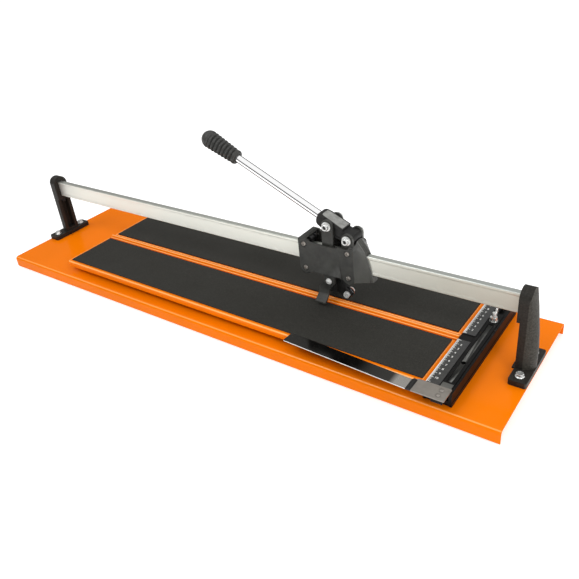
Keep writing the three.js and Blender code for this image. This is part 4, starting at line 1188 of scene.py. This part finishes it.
def socket_bolt(name, node, x, seat):
    """A socket head with a collar, along y in the lever's frame; a dark hexagon in its six-sided hole is
    painted shade.
    """
    length = box(node)[1].y - MID_Y
    front = -seat - 7
    profile = [(0, front), (4.4, front), (5.2, front + 0.8), (5.2, -seat - 2.2), (7.2, -seat - 1.9),
               (7.2, -seat - 0.3), (6.9, -seat), (4, -seat), (4, length - 0.6), (3.4, length), (0, length)]
    bolt = turned(name, profile, "y", (x, 0, 0), 64)
    recess = prism("recess", hexagon_outline(3.1, x), "y", front - 1, front + 4)
    cone = turned("cone", [(0, front - 1), (4.2, front - 1), (2.6, front + 0.9), (0, front + 0.9)], "y",
                  (x, 0, 0), 48)
    bolt = move(cut(bolt, recess, cone), lever_frame())
    stands_for(soften(bolt, 0.2, 2, 35), ZINC_AND_HIGHLIGHT, node)
    # painted shade inside the six-sided recess
    hole_shade = prism(name + "_hole", hexagon_outline(2.98, x), "y", front + 1.6, front + 3.9)
    trim(sharp_shading(move(hole_shade, lever_frame())), BLACK_OXIDE_AND_SHADE, node)


def hexagon_nut(name, node, x, y0, y1, radius, bore, matrix):
    """A nut along y with both faces chamfered."""
    nut = prism(name, hexagon_outline(radius, x), "y", y0, y1)
    flat, corner = radius * 0.9, radius * 1.02
    crown = turned("crown", [(0, y0 - 0.1), (flat, y0 - 0.1), (corner, y0 + 0.8), (corner, y1 - 0.8),
                             (flat, y1 + 0.1), (0, y1 + 0.1)], "y", (x, 0, 0), 48)
    nut = cut(common(nut, crown), rod("bore", bore, "y", y0 - 1, y1 + 1, (x, 0, 0)))
    stands_for(soften(move(nut, matrix), 0.2, 2, 35), BRIGHT_ZINC, node)


# ---- links, ram, foot and wheel
def links():
    """Two straps with round ends; the lower hole is wide, because the links only follow the bolt there."""
    for node, name, side in (("front_link", "front_link_form", -1), ("rear_link", "rear_link_form", 1)):
        y0, y1 = sorted((MID_Y + side * LEVER_SLOT, MID_Y + side * LINK_OUTSIDE))
        outline = [*arc(LINK_PIN.x, LINK_PIN.z, LINK_RADIUS, 0, 180, 24),
                   *arc(FOOT_PIN.x, FOOT_PIN.z, LINK_RADIUS, 180, 360, 24)]
        plate = prism(name, outline, "y", y0, y1)
        holes = [level_hole(LEVER_BOLT_HOLE, LINK_PIN, y0 - 1, y1 + 1),
                 level_hole(4.7, FOOT_PIN, y0 - 1, y1 + 1)]
        stands_for(soften(cut(plate, *holes), 0.5), BLACK, node)


def ram():
    """A yoke round the rail, with the arm that holds the wheel."""
    x = CARRIAGE_X
    yoke = block("ram_form", (FOOT_PIN.x - 9, MID_Y - 9.3, 66), (FOOT_PIN.x + 9, MID_Y + 9.3, 146))
    rail_way = block("rail way", (x - 30, RAIL_LOW.y - 1.3, 91), (x + 30, RAIL_HIGH.y + 1.3, 150))
    lower = smooth_curve([(x + 8, 64.5), (x + 15, 61.5), (x + 20, 60)], 4)
    upper = smooth_curve([(x + 24, 74), (x + 17, 82), (x + 12, 90)], 4)
    outline = [(x + 2, 90), (x + 2, 68), *lower, *arc(WHEEL.x, WHEEL.z, 6.5, 240, 415, 16), *upper]
    arm = prism("arm", outline, "y", MID_Y - 4.5, MID_Y + 4.5)
    body = fused(cut(yoke, rail_way), arm)
    slot = level_hole(9.3, WHEEL, MID_Y - 1.3, MID_Y + 1.3, 48)
    holes = [level_hole(AXLE_HOLE, WHEEL, MID_Y - 20, MID_Y + 20),
             level_hole(FOOT_BOLT_HOLE, FOOT_PIN, MID_Y - 20, MID_Y + 20)]
    stands_for(soften(cut(body, slot, *holes), 0.6), DARK_PAINT, "ram")


def foot_bolt():
    """A bolt with a round head at each end, the same on both sides."""
    seat = 15.7
    head = [(3, seat), (5.2, seat), (5.2, seat + 1), (4.4, seat + 1.9), (3, seat + 2.5), (0, seat + 2.6)]
    profile = [(radius, -y) for radius, y in reversed(head)] + head
    bolt = turned("foot_bolt_form", profile, "y", (FOOT_PIN.x, MID_Y, FOOT_PIN.z))
    stands_for(soften(bolt, 0.2, 2, 35), BRIGHT_ZINC, "foot_bolt")


def breaker_foot():
    """Two cheeks on the foot bolt, each with a leg that spreads out to a toe, and a bridge between them."""
    left, right = CARRIAGE_X - 21.5, CARRIAGE_X - 2.5
    inner, outer = FOOT_CHEEK, FOOT_CHEEK + FOOT_SHEET
    pieces = []
    for side in (-1, 1):
        y0, y1 = sorted((MID_Y + side * inner, MID_Y + side * outer))
        pieces.append(prism("breaker_foot_form", [*arc(FOOT_PIN.x, FOOT_PIN.z, 7.5, -40, 110, 16), (left, 72),
                                                  (left, 66), (right, 66)], "y", y0, y1))
        pieces.append(prism("leg", [(MID_Y + side * y, z) for y, z in (
            (inner, 70), (inner, 65), (12, 60), (21.6, 50.6), (22.4, 50), (25.2, 50), (26, 50.8),
            (25.4, 52.6), (15.6, 60.6), (12.9, 65), (outer, 70))], "x", left, right))
    near_cheek, near_leg, far_cheek, far_leg = pieces
    body = fused(fused(near_cheek, near_leg), fused(far_cheek, far_leg))
    bridge = block("bridge", (left, MID_Y - inner - 1, 66), (left + 3, MID_Y + inner + 1, 72))
    body = cut(fused(body, bridge), level_hole(FOOT_BOLT_HOLE, FOOT_PIN, MID_Y - 20, MID_Y + 20))
    stands_for(soften(body, 0.45), BLACK, "breaker_foot")


def wheel():
    """Hard metal disc with a sharp rim, between two raised hubs."""
    bore, hub, half, web = 2.7, 4.6, 0.8, 0.62
    side = [(bore, half), (hub, half), (4.9, web), (5.7, web)]
    profile = [*[(radius, -y) for radius, y in side], (WHEEL_RADIUS, 0), *reversed(side), (bore, -half)]
    disc = turned("cutting_wheel", profile, "y", (WHEEL.x, MID_Y, WHEEL.z), 64)
    stands_for(sharp_shading(disc, 20), CARBIDE, "scoring_wheel")


def wheel_axle():
    """Hexagon-headed axle with its nut, and a copper washer that shows beside the nut."""
    at_wheel = Matrix.Translation(WHEEL * MM)
    head = prism("wheel_axle_form", hexagon_outline(5.4), "y", -9.4, -4.8)
    crown = turned("crown", [(0, -9.5), (4.7, -9.5), (5.5, -8.6), (5.5, -4.7), (0, -4.7)], "y")
    shank = turned("shank", [(0, -6), (2.4, -6), (2.4, 10.1), (2, 10.6), (0, 10.6)], "y")
    axle = move(fused(common(head, crown), shank), at_wheel)
    stands_for(soften(axle, 0.4, 2, 35), BRIGHT_ZINC, "wheel_axle")
    hexagon_nut("axle_nut_form", "axle_nut", 0, 4.8, 9.4, 5.4, 2.7, at_wheel)
    ring = turned("axle_ring", [(5.3, 4.7), (6.5, 4.8), (6.5, 5.7), (5.5, 5.9), (5.3, 4.7)], "y")
    trim(soften(move(ring, at_wheel), 0.1), COPPER, "axle_nut")


# ---- stage
def studio_floor():
    bm = bmesh.new()
    reach = 40000
    bm.faces.new([bm.verts.new((x * reach, y * reach, 0)) for x, y in ((-1, -1), (1, -1), (1, 1), (-1, 1))])
    ground = new_object("studio_floor", bm)
    white = [(0.3, (0.83, 0.83, 0.83, 1)), (0.7, (0.85, 0.85, 0.85, 1))]
    ground.data.materials.append(layered(
        "studio floor", 0.9, 0, (0.6, 2), white, Specular_IOR_Level=0.1, Emission_Strength=0.4,
        Emission_Color=(1, 1, 1, 1)))


def surroundings():
    """White all round, with one dark band over the horizon that only reflections see."""
    world = bpy.data.worlds.new("studio")
    bpy.context.scene.world = world
    world.use_nodes = True
    tree = world.node_tree
    direction = tree.nodes.new("ShaderNodeTexCoord")
    split = tree.nodes.new("ShaderNodeSeparateXYZ")
    tree.links.new(direction.outputs["Generated"], split.inputs["Vector"])
    levels = ((0.0, 0.9), (0.03, 0.8), (0.05, 0.02), (0.35, 0.02), (0.4, 0.5), (0.52, 0.96), (1.0, 1.0))
    stops = [(height, (level, level, level, 1)) for height, level in levels]
    sky = color_ramp(tree, split.outputs["Z"], stops)
    seen = tree.nodes.new("ShaderNodeLightPath")
    mix = tree.nodes.new("ShaderNodeMix")
    mix.data_type = "RGBA"
    share, first, second = mix.inputs[0], mix.inputs[6], mix.inputs[7]     # its sockets for colours
    second.default_value = (1, 1, 1, 1)
    tree.links.new(seen.outputs["Is Camera Ray"], share)
    tree.links.new(sky, first)
    background = tree.nodes["Background"]
    background.inputs["Strength"].default_value = 1.0
    tree.links.new(mix.outputs[2], background.inputs["Color"])


def add_light(name, place, target, size, power):
    light = bpy.data.lights.new(name, "AREA")
    light.shape = "SQUARE"
    light.size = size
    light.energy = power
    obj = in_scene(name, light)
    obj.location = place
    obj.rotation_euler = (Vector(target) - Vector(place)).to_track_quat("-Z", "Y").to_euler()


def lights():
    """Places and sizes in metres, power in watts."""
    add_light("key", (-0.9, -1.5, 2.5), (0, 0, 0.05), 1.0, 18)
    add_light("fill", (2.6, -1.2, 1.5), (0.1, 0, 0.05), 1.3, 28)
    add_light("back", (1.9, 2.2, 2.4), (0, 0, 0.05), 1.8, 16)


def camera():
    data = bpy.data.cameras.new("camera")
    data.lens = CAMERA_LENS
    data.sensor_width = 36
    data.clip_start = 0.01
    obj = in_scene("camera", data)
    obj.location = CAMERA_PLACE
    obj.rotation_euler = tuple(math.radians(a) for a in CAMERA_TURN)
    bpy.context.scene.camera = obj
    bpy.context.scene.view_settings.view_transform = "Standard"


# ---- the whole machine
for build in (camera, studio_floor, surroundings, lights, finish_cad_nodes, base_tray, rubber_feet, ridge):
    build()
table("front_table", "front_plate", -1)
table("rear_table", "rear_plate", 1)
pad("front_pad", "front_mat")
pad("rear_pad", "rear_mat")
springs()
support("left_support_form", "left_support", -1)
support("right_support_form", "right_support", 1)
for index in (1, 2, 3, 4):
    flange_bolt(f"flange_bolt_{index}", f"support_bolt_{index}")
rail()
fence()
ruler("front_ruler", "front_scale", -1)
ruler("rear_ruler", "rear_scale", 1)
for build in (slide_bar, stop_arm, stop_rivets, clamp_bolt, wing_nut, covers, cover_screws, lever_head,
              lever_rod, grip):
    build()
socket_bolt("pivot_bolt_form", "pivot_bolt", 0, 16.3)
socket_bolt("link_bolt_form", "link_bolt", -LINK_ARM, 15.7)
hexagon_nut("pivot_nut_form", "pivot_nut", 0, 16.3, 21, 8.2, LEVER_BOLT_HOLE, lever_frame())
hexagon_nut("link_nut_form", "link_nut", -LINK_ARM, 15.7, 20.6, 8.2, LEVER_BOLT_HOLE, lever_frame())
for build in (links, ram, foot_bolt, breaker_foot, wheel, wheel_axle):
    build()
